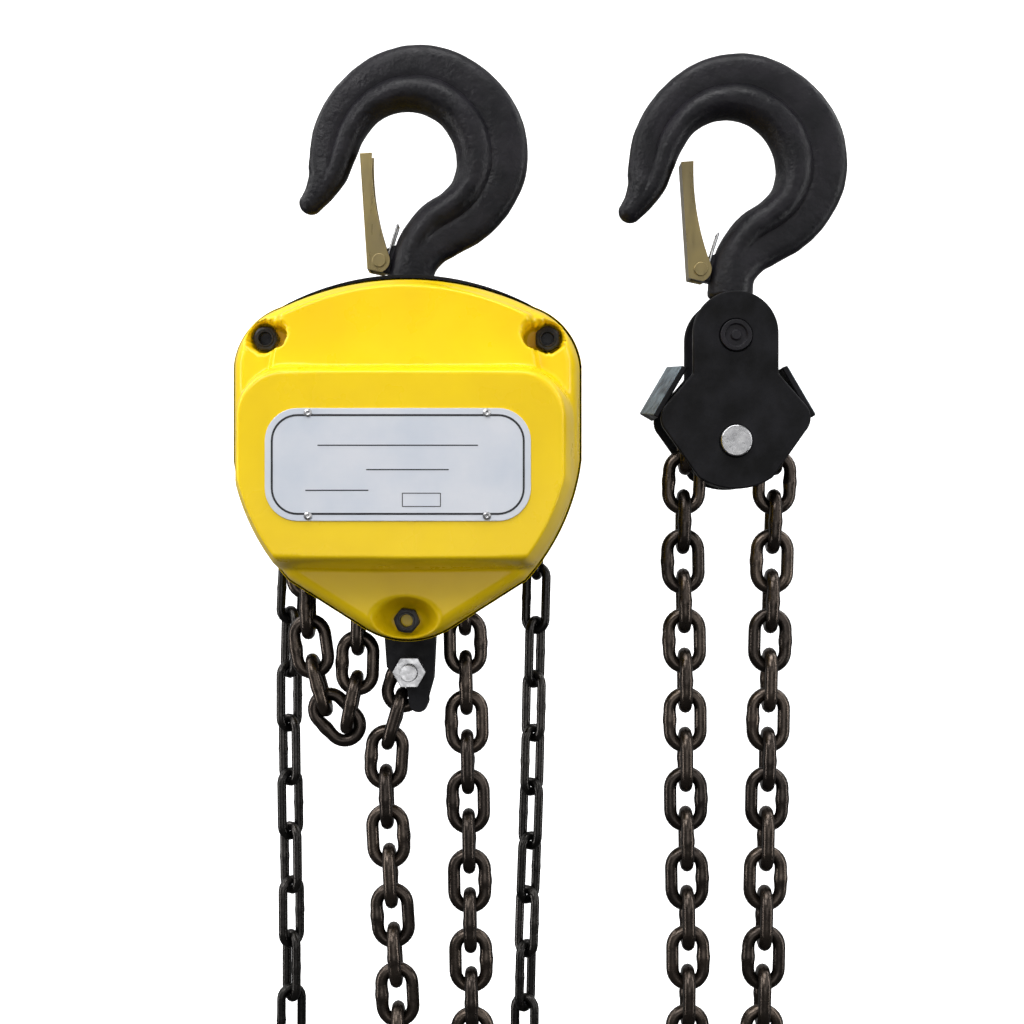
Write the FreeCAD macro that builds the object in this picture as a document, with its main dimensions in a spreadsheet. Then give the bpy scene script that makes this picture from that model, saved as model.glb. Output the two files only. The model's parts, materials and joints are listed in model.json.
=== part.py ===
import FreeCAD, Part
# Two-fall manual chain block: a parametric document, in millimetres.
#
# Origin: centre of the top hook's bowl. +X to the hook block's side, +Y from the gear cover to the hand
# wheel cover, +Z up. The load chain, both hooks and both sheaves lie in the plane Y = 0.
import Sketcher
import math
import os
import re

from FreeCAD import Placement, Rotation, Vector

doc = FreeCAD.newDocument("ChainBlock")

# ---------------------------------------------------------------- driving dimensions
SIZES = {
    "axisZ": -134.4,            # drive axis below the top hook's bowl centre
    "blockX": 145.0,            # the hook block's own centre line
    "blockHookZ": -3.9,         # bowl centre of the bottom hook
    "trunnionZ": -82.1,
    "idlerZ": -128.8,
    "plateInner": 18.0,         # half of the gap between the side plates
    "plateThick": 6.0,
    "loadWire": 5.8,
    "loadPitch": 18.0,
    "loadWidth": 19.8,
    "handWire": 4.4,
    "handPitch": 26.0,
    "handWidth": 14.4,
    "handPlaneY": 46.0,
    "neckRadius": 8.0,          # hook neck inside its yoke
    "yokePinRadius": 6.0,
    "yokePinZ": -90.0,
    "runningGap": 0.05,
    "stayRadius": 7.0,
    "stayThread": 4.0,
    "nutFlats": 10.0,
    "nutHigh": 6.5,
    "bearingOuter": 17.0,
    "journalRadius": 12.0,
    "gearSeatRadius": 10.5,
    "shaftRadius": 5.9,
    "sheaveBore": 6.4,
    "gearSpread": 33.0,         # drive shaft to disc gear centre distance
    "discJournal": 5.0,
    "fineModule": 1.5,
    "coarseModule": 2.0,
    "discWide": 7.0,
    "loadGearWide": 9.0,
    "carrierThick": 2.0,
    "coverSheet": 2.0,
    "rearSheet": 1.6,
    "anchorZ": -232.0,
    "anchorRadius": 3.75,
    "anchorFlats": 13.0,
    "earHalf": 10.5,
    "blockPlateInner": 15.5,
    "blockPlateThick": 4.5,
    "idlerPinRadius": 7.0,
    "trunnionRadius": 9.2,
    "trunnionJournal": 7.0,
    "rollerRadius": 8.0,
    "rollerPin": 3.0,
    "tailPin": 3.5,
    "ratchetTip": 24.0,
    "ratchetRoot": 20.0,
    "ratchetThick": 3.5,
    "pawlPin": 2.5,
    "frictionOuter": 20.0,
    "latchRivet": 2.0,
    "nameplateLong": 109.3,
    "nameplateHigh": 46.4,
    "nameplateCorner": 13.5,
    "panelFront": 72.0,
}
sheet = doc.addObject("Spreadsheet::Sheet", "Sizes")
for row, (alias, number) in enumerate(SIZES.items(), start=1):
    sheet.set(f"A{row}", alias)
    sheet.set(f"B{row}", str(number))
    sheet.setAlias(f"B{row}", alias)
doc.recompute()


def size(text):
    """The value of an expression written with the sheet's aliases."""
    return float(sheet.evalExpression(text))


def bind(obj, **expressions):
    """Bind properties to expressions written with the sheet's aliases."""
    for name, text in expressions.items():
        obj.setExpression(name, on_sheet(text))


def on_sheet(text):
    """The expression with each alias written as a cell of the sheet."""
    return re.sub(r"[A-Za-z]\w*", lambda m: "Sizes." * (m.group() in SIZES) + m.group(), text)


# ---------------------------------------------------------------- places and small builders
PARTS = []
UP = Vector(0, 0, 1)
FACING = Rotation(Vector(1, 0, 0), 90)      # local x, y, z become +X, +Z, -Y


def facing(x, back, z, turn=0.0):
    """A place whose local z runs toward -Y from the plane Y = back, turned about that line."""
    return Placement(Vector(x, back, z), FACING.multiply(Rotation(UP, turn)))


def upright(x, y, z):
    return Placement(Vector(x, y, z), Rotation())


def cross_bar(radius, length, x, y, z):
    """A round bar along Y whose near end is at (x, y, z)."""
    return Part.makeCylinder(radius, length, Vector(x, y, z), Vector(0, 1, 0))


def keep(obj, label):
    obj.Label = label
    PARTS.append(obj)
    return obj


def solid(label, shape, place=None):
    """A sub-part whose shape is made directly; its own frame is placed afterwards."""
    obj = doc.addObject("Part::Feature", "Shape_" + label)
    obj.Shape = shape
    if place:
        obj.Placement = place
    return keep(obj, label)


def cylinder(place, radius, length):
    obj = doc.addObject("Part::Cylinder", "Cylinder")
    bind(obj, Radius=radius, Height=length)
    obj.Placement = place
    return obj


def hexagon(place, flats, length):
    obj = doc.addObject("Part::Prism", "Hexagon")
    obj.Polygon = 6
    bind(obj, Circumradius=f"({flats}) / 2 / cos(30)", Height=length)
    obj.Placement = place
    return obj


def fused(pieces):
    obj = doc.addObject("Part::MultiFuse", "Fuse")
    obj.Shapes = pieces
    return obj


def group(label, pieces):
    """Identical pieces: separate solids in one sub-part."""
    obj = doc.addObject("Part::Compound", "Group_" + label)
    obj.Links = pieces
    return keep(obj, label)


def less(base, *tools):
    """The base with each tool cut from it."""
    for tool in tools:
        cut = doc.addObject("Part::Cut", "Cut")
        cut.Base = base
        cut.Tool = tool
        base = cut
    return base


# ---------------------------------------------------------------- sketches and bodies
def new_body(label, place=None):
    body = doc.addObject("PartDesign::Body", "Body_" + label)
    if place:
        body.Placement = place
    return keep(body, label)


def new_sketch(body, role, lift=0.0):
    sketch = body.newObject("Sketcher::SketchObject", "Sketch")
    plane = next(f for f in body.Origin.OriginFeatures if f.Role == role)
    sketch.AttachmentSupport = [(plane, "")]
    sketch.MapMode = "FlatFace"
    sketch.AttachmentOffset = Placement(Vector(0, 0, lift), Rotation())
    return sketch


def draw(sketch, edges):
    sketch.addGeometry(edges, False)


def circle(sketch, x, y, radius):
    """A circle whose radius follows the sheet."""
    index = sketch.addGeometry(Part.Circle(Vector(x, y, 0), UP, size(radius)), False)
    constraint = sketch.addConstraint(Sketcher.Constraint("Radius", index, size(radius)))
    sketch.setExpression(f"Constraints[{constraint}]", on_sheet(radius))


def outline(points):
    """Closed run of lines, and of arcs given as (via, end) pairs, through 2D points."""
    edges = []
    start = Vector(*points[0], 0)
    for item in points[1:] + [points[0]]:
        if isinstance(item[0], tuple):
            via, end = Vector(*item[0], 0), Vector(*item[1], 0)
            edges.append(Part.Arc(start, via, end))
        else:
            end = Vector(*item, 0)
            if start.distanceToPoint(end) < 1e-6:
                continue
            edges.append(Part.LineSegment(start, end))
        start = end
    return edges


def pad(body, sketch, length):
    feature = body.newObject("PartDesign::Pad", "Pad")
    feature.Profile = sketch
    bind(feature, Length=length)
    sketch.Visibility = False
    return feature


def turned(label, place, profile):
    """A solid of revolution about its own z: profile is (radius, height) pairs as expressions."""
    body = new_body(label, place)
    sketch = new_sketch(body, "XZ_Plane")
    spots = [Vector(size(r), size(h), 0) for r, h in profile]
    count = len(spots)
    for i in range(count):
        sketch.addGeometry(Part.LineSegment(spots[i], spots[(i + 1) % count]), False)
    for i, (r, h) in enumerate(profile):
        sketch.addConstraint(Sketcher.Constraint("Coincident", i, 2, (i + 1) % count, 1))
        for kind, text, value, axis in (("DistanceX", r, spots[i].x, -2), ("DistanceY", h, spots[i].y, -1)):
            if abs(value) < 1e-9:
                sketch.addConstraint(Sketcher.Constraint("PointOnObject", i, 1, axis))
            else:
                made = sketch.addConstraint(Sketcher.Constraint(kind, -1, 1, i, 1, value))
                sketch.setExpression(f"Constraints[{made}]", on_sheet(text))
    turn = body.newObject("PartDesign::Revolution", "Revolution")
    turn.Profile = sketch
    turn.ReferenceAxis = (sketch, ["V_Axis"])
    turn.Angle = 360
    return body


def ring(label, place, inner, outer, length):
    return turned(label, place, [(inner, "0"), (outer, "0"), (outer, length), (inner, length)])


# ---------------------------------------------------------------- named places
AXIS_Z = size("axisZ")
BLOCK_X = size("blockX")
IDLER_Z = size("idlerZ")
TRUNNION_Z = size("trunnionZ")
HAND_Y = size("handPlaneY")
PLATE_IN = size("plateInner")
PLATE_OUT = size("plateInner + plateThick")
STAYS = ((-61.4, -84.9), (61.4, -84.9), (0.0, -207.7))
ROLLERS = ((-43.5, -148.0), (43.5, -148.0))
TAIL_PIN = (-46.9, -181.3)
POSTS = ((14.0, AXIS_Z + 33.5), (-14.0, AXIS_Z - 33.5))
NAMEPLATE = (-1.0, -140.9)
PLATE_RIVETS = ((-37.9, -119.7), (35.6, -119.7), (-37.9, -162.0), (35.6, -162.0))
PLATE_CROWN = 1.5               # the side plates' top edge stands this much above the covers
HOUSING_MID = -137.4            # height that the housing outline shrinks towards
SHEAVE_TURN = 12.0              # degrees: the first pocket stands this far above horizontal
RATCHET_TEETH = 15
PAWL_TEETH = (4, 11)            # ratchet teeth that the two pawls stand at


def housing(inset=0.0, crown=0.0):
    """Outline of the housing: a rounded triangle with its tip down, shrunk by inset."""
    scale = 1 - inset / 76.6

    def at(x, z):
        return (x * scale, HOUSING_MID + (z - HOUSING_MID) * scale)

    return outline([
        at(-56, -70.3), (at(0, -57.4 + crown), at(56, -70.3)), (at(70.5, -80.8), at(76.6, -96.4)),
        at(76.6, -137.5), (at(69, -165), at(52.2, -190.8)), at(18.3, -212.3),
        (at(0, -217.4), at(-18.3, -212.3)), at(-52.2, -190.8), (at(-69, -165), at(-76.6, -137.5)),
        at(-76.6, -96.4), (at(-70.5, -80.8), at(-56, -70.3)),
    ])


def face_of(edges):
    return Part.Face(Part.Wire([edge.toShape() for edge in edges]))


def slab(edges, y_from, y_to):
    """A prism of an outline drawn in X and Z, between two planes of Y."""
    shape = face_of(edges)
    shape.rotate(Vector(), Vector(1, 0, 0), 90)
    shape.translate(Vector(0, y_to, 0))
    return shape.extrude(Vector(0, y_from - y_to, 0))


def ring_at(edges, y):
    """The outline as a closed wire in the plane of one Y."""
    wire = Part.Wire([edge.toShape() for edge in edges])
    wire.rotate(Vector(), Vector(1, 0, 0), 90)
    wire.translate(Vector(0, y, 0))
    return wire


# ---------------------------------------------------------------- frame: side plates, stays, bearings
def side_plate(label, back, openings):
    body = new_body(label)
    sketch = new_sketch(body, "XZ_Plane", -back)
    draw(sketch, housing(crown=PLATE_CROWN))
    for x, z, radius in openings:
        circle(sketch, x, z, radius)
    pad(body, sketch, "plateThick")


stay_holes = [(x, z, "stayThread + runningGap") for x, z in STAYS]
cross_holes = [(x, z, "rollerPin") for x, z in ROLLERS] + [TAIL_PIN + ("tailPin",)]
common = stay_holes + cross_holes + [
    (0, AXIS_Z, "bearingOuter"), (0, size("yokePinZ"), "yokePinRadius")]
disc_holes = [(s * size("gearSpread"), AXIS_Z, "discJournal + runningGap") for s in (-1, 1)]
post_holes = [(x, z, "stayThread") for x, z in POSTS]
side_plate("gear_side_plate", -PLATE_IN, common + disc_holes + post_holes)


def around_drive(angle, radius):
    """A point in the plane of the wheels, at an angle and distance from the drive axis."""
    turn = math.radians(angle)
    return (radius * math.cos(turn), AXIS_Z + radius * math.sin(turn))


PAWL_ARM = (30.0, 22.0)         # pawl pivot: radial and tangential distance from the tooth's radial line


def pawl_pivot(tooth):
    angle = 360 / RATCHET_TEETH * tooth - math.degrees(math.atan2(PAWL_ARM[1], PAWL_ARM[0]))
    return around_drive(angle, math.hypot(*PAWL_ARM))


pawl_holes = [pawl_pivot(tooth) + ("pawlPin",) for tooth in PAWL_TEETH]
side_plate("wheel_side_plate", PLATE_OUT, common + pawl_holes)

group("sheave_bearings", [
    less(cylinder(facing(0, back, AXIS_Z), "bearingOuter", "plateThick"),
         cylinder(facing(0, back + 1, AXIS_Z), "journalRadius + runningGap", "plateThick + 2"))
    for back in (-PLATE_IN, PLATE_OUT)])

STAY_END = 8.5                  # thread beyond the rear plate; the gear cover's side has 2.5 more
group("stay_bolts", [
    fused([cylinder(facing(x, PLATE_IN, z), "stayRadius", "2 * plateInner"),
           cylinder(facing(x, PLATE_OUT + STAY_END, z), "stayThread",
                    f"2 * (plateInner + plateThick + {STAY_END}) + 2.5")])
    for x, z in STAYS])


def nut(x, back, z, flats, high, bore):
    blank = hexagon(facing(x, back, z), flats, high)
    return less(blank, cylinder(facing(x, back + 1, z), bore, f"{high} + 2"))


nut_backs = (-PLATE_OUT - size("coverSheet"), PLATE_OUT + size("rearSheet + nutHigh"))
group("stay_nuts", [nut(x, back, z, "nutFlats", "nutHigh", "stayThread")
                    for x, z in STAYS for back in nut_backs])

ACROSS = "2 * (plateInner + plateThick)"
pins = [cylinder(facing(x, PLATE_OUT, z), "rollerPin", ACROSS) for x, z in ROLLERS]
pins.append(cylinder(facing(TAIL_PIN[0], PLATE_OUT, TAIL_PIN[1]), "tailPin", ACROSS))
group("cross_pins", pins)
for side, (x, z) in zip(("left", "right"), ROLLERS):
    ring(f"guide_roller_{side}", facing(x, PLATE_IN - 1, z), "rollerPin + runningGap", "rollerRadius",
         "2 * (plateInner - 1)")

keep(cylinder(facing(0, PLATE_OUT, size("yokePinZ")), "yokePinRadius", ACROSS), "yoke_pin")

# The stripper stands on the lower stay's side of the sheave and lifts the chain out of its groove.
blade = outline([(-9, -172), (-9, -168), (-3.2, -164), (-1.2, -147.4), (1.2, -147.4), (3.2, -164),
                 (9, -168), (9, -172)])
bridge = outline([(-9, -176), (-9, -172), (9, -172), (9, -176)])
solid("chain_stripper", slab(blade, -3, 3).fuse(slab(bridge, -PLATE_IN, PLATE_IN)).removeSplitter())

# ---------------------------------------------------------------- chain anchor under the housing
EAR_GAP = 3.7                   # half of the slot between the bracket's ears
EAR_OUT = 8.2


def anchor_bracket():
    ear = size("earHalf")
    top = outline([(-ear - 1, -216), (-ear, -200), ((0, -192.5), (ear, -200)), (ear + 1, -216)])
    ears = outline([(-ear - 1, -216), (ear + 1, -216), (ear, -236), (ear - 2.5, -245),
                    ((3.7, -250.5), (-0.5, -246)), (-1.2, -240), (-ear, -230)])
    slot = outline([(-30, -260), (-30, -219), (30, -219), (30, -260)])
    shape = slab(top, -EAR_OUT, EAR_OUT).fuse(slab(ears, -EAR_OUT, EAR_OUT))
    shape = shape.cut(slab(slot, -EAR_GAP, EAR_GAP))
    stay = cross_bar(size("stayRadius + runningGap"), 40, STAYS[2][0], -20, STAYS[2][1])
    bolt = cross_bar(size("anchorRadius"), 40, 0, -20, size("anchorZ"))
    return shape.removeSplitter().cut(stay).cut(bolt)


solid("chain_anchor_bracket", anchor_bracket())
keep(fused([cylinder(facing(0, EAR_OUT, size("anchorZ")), "anchorRadius", "27.5"),
            hexagon(facing(0, EAR_OUT + 5.3, size("anchorZ")), "anchorFlats", "5.3")]), "anchor_bolt")
keep(nut(0, -EAR_OUT, size("anchorZ"), "anchorFlats", "nutHigh", "anchorRadius"), "anchor_nut")

# ---------------------------------------------------------------- covers and nameplate
PANEL = dict(half=66.5, top=-102.9, foot=-178.9, corner=18)
LEVELS = dict(shelf=42.0, hump=50.0, panel=72.0)
WELL_RADIUS = 9.0


def rounded(half, top, foot, corner):
    k = corner * (1 - math.sqrt(0.5))
    return outline([
        (-half, top - corner), ((-half + k, top - k), (-half + corner, top)), (half - corner, top),
        ((half - k, top - k), (half, top - corner)), (half, foot + corner),
        ((half - k, foot + k), (half - corner, foot)), (-half + corner, foot),
        ((-half + k, foot + k), (-half, foot + corner)),
    ])


def hump(inset=0.0):
    """The raised field between the upper stay wells."""
    half = 51.7 - inset
    return outline([(-half, -110), (-half, -84 - inset), ((0, -65.8 - inset), (half, -84 - inset)),
                    (half, -110)])


def pressed(inset, back):
    """The stepped form of the gear cover, pulled in by inset; back is its open side."""
    front = -LEVELS["shelf"] + inset
    shape = slab(housing(inset + 1.5), front, back)
    shape = shape.fuse(slab(hump(inset), -LEVELS["hump"] + inset, back))
    edges = rounded(PANEL["half"] - inset, PANEL["top"] - inset, PANEL["foot"] + inset, PANEL["corner"])
    return shape.fuse(slab(edges, -LEVELS["panel"] + inset, back)).removeSplitter()


def gear_cover():
    """The pressed cover with a round well through it over each stay nut."""
    back = -PLATE_OUT
    gauge = size("coverSheet")
    floor = back - gauge
    rim = slab(housing(), floor, back)
    sheet_metal = pressed(0, back).fuse(rim)
    wells = [cross_bar(WELL_RADIUS, 60, x, -PLATE_OUT - 60, z) for x, z in STAYS]
    well_walls = [cross_bar(WELL_RADIUS + gauge, 60, x, -PLATE_OUT - 60, z) for x, z in STAYS]
    hollow = pressed(gauge, back)
    for wall in well_walls:
        hollow = hollow.cut(wall)
    shape = sheet_metal.cut(hollow)
    for well in wells:
        well.translate(Vector(0, floor - back, 0))
        shape = shape.cut(well)
    for x, z in STAYS:
        shape = shape.cut(cross_bar(size("stayThread + runningGap"), 60, x, -60, z))
    return shape.removeSplitter()


solid("gear_cover", gear_cover())


def rear_cover():
    """Hand wheel cover: a deep dish with a round boss over the shaft end and a chain mouth each side."""
    gauge = size("rearSheet")
    depth, boss, boss_depth = 62.0, 27.0, 76.0

    def dish(inset):
        corner = 9 - inset
        wires = [ring_at(housing(inset), PLATE_OUT)]
        for step in range(4):
            turn = math.radians(30 * step)
            edges = housing(inset + corner * (1 - math.cos(turn)))
            wires.append(ring_at(edges, depth - inset - corner * (1 - math.sin(turn))))
        outer = Part.makeLoft(wires, True, True)
        return outer.fuse(cross_bar(boss - inset, boss_depth - inset - PLATE_OUT, 0, PLATE_OUT, AXIS_Z))

    shape = dish(0).cut(dish(gauge))
    flange = slab(housing(), PLATE_OUT, PLATE_OUT + gauge)
    shape = shape.fuse(flange.cut(slab(housing(14), PLATE_OUT - 1, PLATE_OUT + gauge + 1)))
    for x, z in STAYS:
        nut_seat = cross_bar(9.5, gauge, x, PLATE_OUT, z)
        shape = shape.fuse(nut_seat.common(flange))
        shape = shape.cut(cross_bar(size("stayThread + runningGap"), 10, x, PLATE_OUT - 2, z))
    for side in (-1, 1):
        mouth = Part.makeBox(32, 26, 60, Vector(side * 60 - 16, HAND_Y - 13, -225))
        shape = shape.cut(mouth)
    return shape.removeSplitter()


solid("hand_wheel_cover", rear_cover())


def nameplate():
    half = size("nameplateLong") / 2
    high = size("nameplateHigh") / 2
    edges = rounded(half, high, -high, size("nameplateCorner"))
    return face_of(edges).extrude(Vector(0, 0, 0.5))


solid("nameplate", nameplate(), facing(NAMEPLATE[0], -size("panelFront"), NAMEPLATE[1]))
group("nameplate_rivets", [cylinder(facing(x, -72.5, z), "1.6", "0.8") for x, z in PLATE_RIVETS])


# ---------------------------------------------------------------- gears
PRESSURE = math.radians(20)
BACKLASH = 0.2
ADDENDUM = 0.85
DEDENDUM = 1.25


def involute(angle):
    return math.tan(angle) - angle


def gear_face(teeth, module, shift, first):
    """Outline of an involute gear with its first tooth at an angle in degrees."""
    pitch = module * teeth / 2
    base = pitch * math.cos(PRESSURE)
    tip = pitch + (ADDENDUM + shift) * module
    root = pitch - (DEDENDUM - shift) * module
    half_tooth = (math.pi / 2 + 2 * shift * math.tan(PRESSURE)) / teeth - BACKLASH / (2 * pitch)
    low = max(base, root)
    flank = [(r, half_tooth + involute(PRESSURE) - involute(math.acos(base / r)))
             for r in (low, (low + tip) / 2, tip)]

    def at(r, angle):
        return Vector(r * math.cos(angle), r * math.sin(angle), 0)

    edges = []
    for i in range(teeth):
        centre = math.radians(first) + 2 * math.pi * i / teeth
        after = centre + 2 * math.pi / teeth
        rise = [at(r, centre - a) for r, a in flank]
        fall = [at(r, centre + a) for r, a in reversed(flank)]
        foot = at(root, centre - flank[0][1])
        heel = at(root, centre + flank[0][1])
        if root < base:
            edges.append(Part.LineSegment(foot, rise[0]).toShape())
        edges.append(Part.Arc(*rise).toShape())
        edges.append(Part.LineSegment(rise[-1], fall[0]).toShape())
        edges.append(Part.Arc(*fall).toShape())
        if root < base:
            edges.append(Part.LineSegment(fall[-1], heel).toShape())
        edges.append(Part.LineSegment(heel, at(root, after - flank[0][1])).toShape())
    return Part.Face(Part.Wire(edges))


def gear(teeth, module, shift, first, near, wide):
    """A gear blank about local z, from near to near + wide."""
    face = gear_face(teeth, size(module), shift, first)
    face.translate(Vector(0, 0, near))
    return face.extrude(Vector(0, 0, wide))


def rod(radius, near, far):
    return Part.makeCylinder(radius, far - near, Vector(0, 0, near))


FINE_TEETH = (8, 36)
COARSE_TEETH = (9, 24)
FINE_SHIFT = 0.53
COARSE_SHIFT = 0.47
LOAD_GEAR_NEAR = 26.0           # all of these are distances toward -Y from Y = 0
DISC_NEAR = 37.5
CARRIER_NEAR = 45.6

load_gear = gear(COARSE_TEETH[1], "coarseModule", -COARSE_SHIFT, 0, LOAD_GEAR_NEAR, size("loadGearWide"))
solid("load_gear", load_gear.cut(rod(size("gearSeatRadius"), 20, 50)), facing(0, 0, AXIS_Z))
for side, gap in (("left", 0), ("right", 180)):
    x = size("gearSpread") * (1 if gap else -1)
    wheel = gear(FINE_TEETH[1], "fineModule", -FINE_SHIFT, gap + 180 / FINE_TEETH[1], DISC_NEAR,
                 size("discWide"))
    pinion = gear(COARSE_TEETH[0], "coarseModule", COARSE_SHIFT, gap + 180 / COARSE_TEETH[0],
                  LOAD_GEAR_NEAR, size("loadGearWide") + 1)
    core = rod(size("discJournal"), 18.6, CARRIER_NEAR + 2).fuse(rod(6.8, 24.6, DISC_NEAR + 1))
    hub = rod(9, DISC_NEAR, CARRIER_NEAR - 0.5)
    solid(f"disc_gear_{side}", wheel.fuse([pinion, core, hub]).removeSplitter(), facing(x, 0, AXIS_Z))


def drive_shaft():
    """The input shaft: pinion toward the gear cover, thread for the hub and square-cut end for the nut."""
    wide = size("discWide")
    pinion = gear(FINE_TEETH[0], "fineModule", FINE_SHIFT, 0, DISC_NEAR, wide)
    core = rod(4.6, DISC_NEAR - 2, DISC_NEAR + wide)
    journal = rod(4.0, DISC_NEAR + wide - 1, CARRIER_NEAR + 2)
    shape = rod(size("shaftRadius"), -72, DISC_NEAR - 0.5).fuse([pinion, core, journal])
    split_pin_hole = Part.makeCylinder(1.05, 30, Vector(-15, 0, -68.5), Vector(1, 0, 0))
    return shape.removeSplitter().cut(split_pin_hole)


solid("drive_shaft", drive_shaft(), facing(0, 0, AXIS_Z))

ring("snap_ring", facing(0, -35.1, AXIS_Z), "gearSeatRadius - 1", "gearSeatRadius + 2", "1")


def carrier_plate():
    reach = size("gearSpread") + 9
    tall = POSTS[0][1] - AXIS_Z + 7
    edges = outline([(-reach, 8), (-8, tall), (20, tall), (reach, 8),
                     (reach, -8), (8, -tall), (-20, -tall), (-reach, -8)])
    shape = face_of(edges).extrude(Vector(0, 0, size("carrierThick")))
    upright_edges = [e for e in shape.Edges if abs(e.tangentAt(e.FirstParameter).z) > 0.99]
    shape = shape.makeFillet(4, upright_edges)
    bores = [Part.makeCylinder(size("discJournal + runningGap"), 10, Vector(x, 0, -2))
             for x in (-size("gearSpread"), size("gearSpread"))]
    bores.append(Part.makeCylinder(4.05, 10, Vector(0, 0, -2)))
    bores += [Part.makeCylinder(size("stayThread"), 10, Vector(x, z - AXIS_Z, -2)) for x, z in POSTS]
    for bore in bores:
        shape = shape.cut(bore)
    return shape


solid("gear_carrier_plate", carrier_plate(), facing(0, -CARRIER_NEAR, AXIS_Z))
group("carrier_posts", [
    fused([cylinder(facing(x, -PLATE_OUT, z), "stayRadius - 1",
                    f"{CARRIER_NEAR} - plateInner - plateThick"),
           cylinder(facing(x, -PLATE_IN, z), "stayThread",
                    f"{CARRIER_NEAR} - plateInner + carrierThick + 0.2")])
    for x, z in POSTS])


# ---------------------------------------------------------------- load sheave and idler
GROOVE_HALF = 3.9
SLACK = 0.15                    # how far a pulled link's end wire stands beyond contact
SEAT_GAP = 0.2


class Wrap:
    """A chain bedded on a wheel: flat links in the seats, the links between them standing on edge."""

    def __init__(self, pitch, wire, width, links_round):
        half_flat = pitch / 2 + wire / 2 + SLACK
        half_upright = pitch - half_flat
        turn = 2 * math.pi / links_round
        across = (half_upright + half_flat * math.cos(turn)) / math.sin(turn)
        self.radius = math.hypot(half_flat, across)
        self.half_angle = math.degrees(math.asin(half_flat / self.radius))
        self.step = math.degrees(turn)
        self.seat = across - wire / 2 - SEAT_GAP
        self.groove = math.sqrt(self.radius ** 2 - half_upright ** 2) - width / 2 - SEAT_GAP

    def spots(self, x, z, first_pocket, count, way=1):
        """Wire points from the first flat link's near end, round count links."""
        places = []
        for i in range(count + 1):
            pocket_angle = first_pocket + way * self.step * 2 * (i // 2)
            angle = math.radians(pocket_angle + way * self.half_angle * (1 if i % 2 else -1))
            places.append((x + self.radius * math.cos(angle), z + self.radius * math.sin(angle)))
        return places


LOAD_WRAP = Wrap(size("loadPitch"), size("loadWire"), size("loadWidth"), 8)
LINK_SEAT = round(LOAD_WRAP.seat, 2)
GROOVE_FLOOR = round(LOAD_WRAP.groove, 2)


def pocket(seat, long, wide, reach, angle):
    """A rounded slot cut radially outward from a seat, at an angle about local z."""
    straight = long / 2 - wide / 2
    slot = Part.makeBox(2 * straight, wide, reach, Vector(-straight, -wide / 2, seat))
    for s in (-1, 1):
        slot = slot.fuse(Part.makeCylinder(wide / 2, reach, Vector(s * straight, 0, seat)))
    slot.rotate(Vector(), Vector(1, 0, 0), -90)
    slot.rotate(Vector(), UP, angle - 90)
    return slot.removeSplitter()


def washer(inner, outer, near, far):
    return rod(outer, near, far).cut(rod(inner, near - 1, far + 1))


def load_sheave():
    shape = rod(size("journalRadius"), -24, 26).fuse([
        rod(size("gearSeatRadius"), 25, 37.1), rod(15, -17.4, 17.4), rod(24.5, -11, 11),
        rod(28.5, 10.6, 14), rod(28.5, -14, -10.6)])
    shape = shape.cut(washer(GROOVE_FLOOR, 40, -GROOVE_HALF, GROOVE_HALF))
    for i in range(4):
        shape = shape.cut(pocket(LINK_SEAT, 31.2, 20.6, 20, SHEAVE_TURN + 90 * i))
    shape = shape.cut(washer(size("gearSeatRadius") - 1, 20, 35.1, 36.1))
    return shape.removeSplitter().cut(rod(size("sheaveBore"), -30, 50))


solid("load_sheave", load_sheave(), facing(0, 0, AXIS_Z))
IDLER_HALF = 14
seat_text, floor_text = str(LINK_SEAT), str(GROOVE_FLOOR)
groove_text = [str(IDLER_HALF + s * GROOVE_HALF) for s in (-1, 1)]
turned("idler_sheave", facing(BLOCK_X, IDLER_HALF, IDLER_Z), [
    ("9", "0"), ("20.8", "0"), ("20.8", "3.4"), (seat_text, "3.6"), (seat_text, groove_text[0]),
    (floor_text, groove_text[0]), (floor_text, groove_text[1]), (seat_text, groove_text[1]),
    (seat_text, "24.4"), ("20.8", "24.6"), ("20.8", "28"), ("9", "28")])
ring("idler_bush", facing(BLOCK_X, IDLER_HALF + 0.5, IDLER_Z), "idlerPinRadius + runningGap", "9", "29")

# ---------------------------------------------------------------- brake and hand wheel
turned("brake_hub", facing(0, 35.4, AXIS_Z), [
    ("shaftRadius", "0"), ("11.4", "0"), ("11.4", "7.4"), ("frictionOuter", "7.4"), ("frictionOuter", "10.4"),
    ("shaftRadius", "10.4")])
group("friction_discs", [
    less(cylinder(facing(0, back, AXIS_Z), "frictionOuter", "1.9"),
         cylinder(facing(0, back + 1, AXIS_Z), "11.7", "4"))
    for back in (29.9, 35.4)])


def ratchet():
    step = 2 * math.pi / RATCHET_TEETH
    points = []
    for i in range(RATCHET_TEETH):
        for radius, angle in ((size("ratchetRoot"), i * step), (size("ratchetTip"), i * step)):
            points.append((radius * math.cos(angle), radius * math.sin(angle)))
    shape = face_of(outline(points)).extrude(Vector(0, 0, size("ratchetThick") - 0.1))
    return shape.cut(rod(11.7, -1, 10))


solid("ratchet_disc", ratchet(), facing(0, 33.45, AXIS_Z))


def pawl():
    """A pawl in the ratchet's frame: its nose stands just short of a radial tooth face at angle 0."""
    radial, back = PAWL_ARM
    arm = outline([(20.9, -1.3), (24.4, -0.35), (radial + 4.3, -back + 0.8), (radial - 4.3, -back - 0.8)])
    thick = size("ratchetThick") - 0.3
    eye = Part.makeCylinder(4.5, thick, Vector(radial, -back, 0))
    bore = Part.makeCylinder(size("pawlPin + runningGap"), 10, Vector(radial, -back, -2))
    return face_of(arm).extrude(Vector(0, 0, thick)).fuse(eye).removeSplitter().cut(bore)


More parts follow.
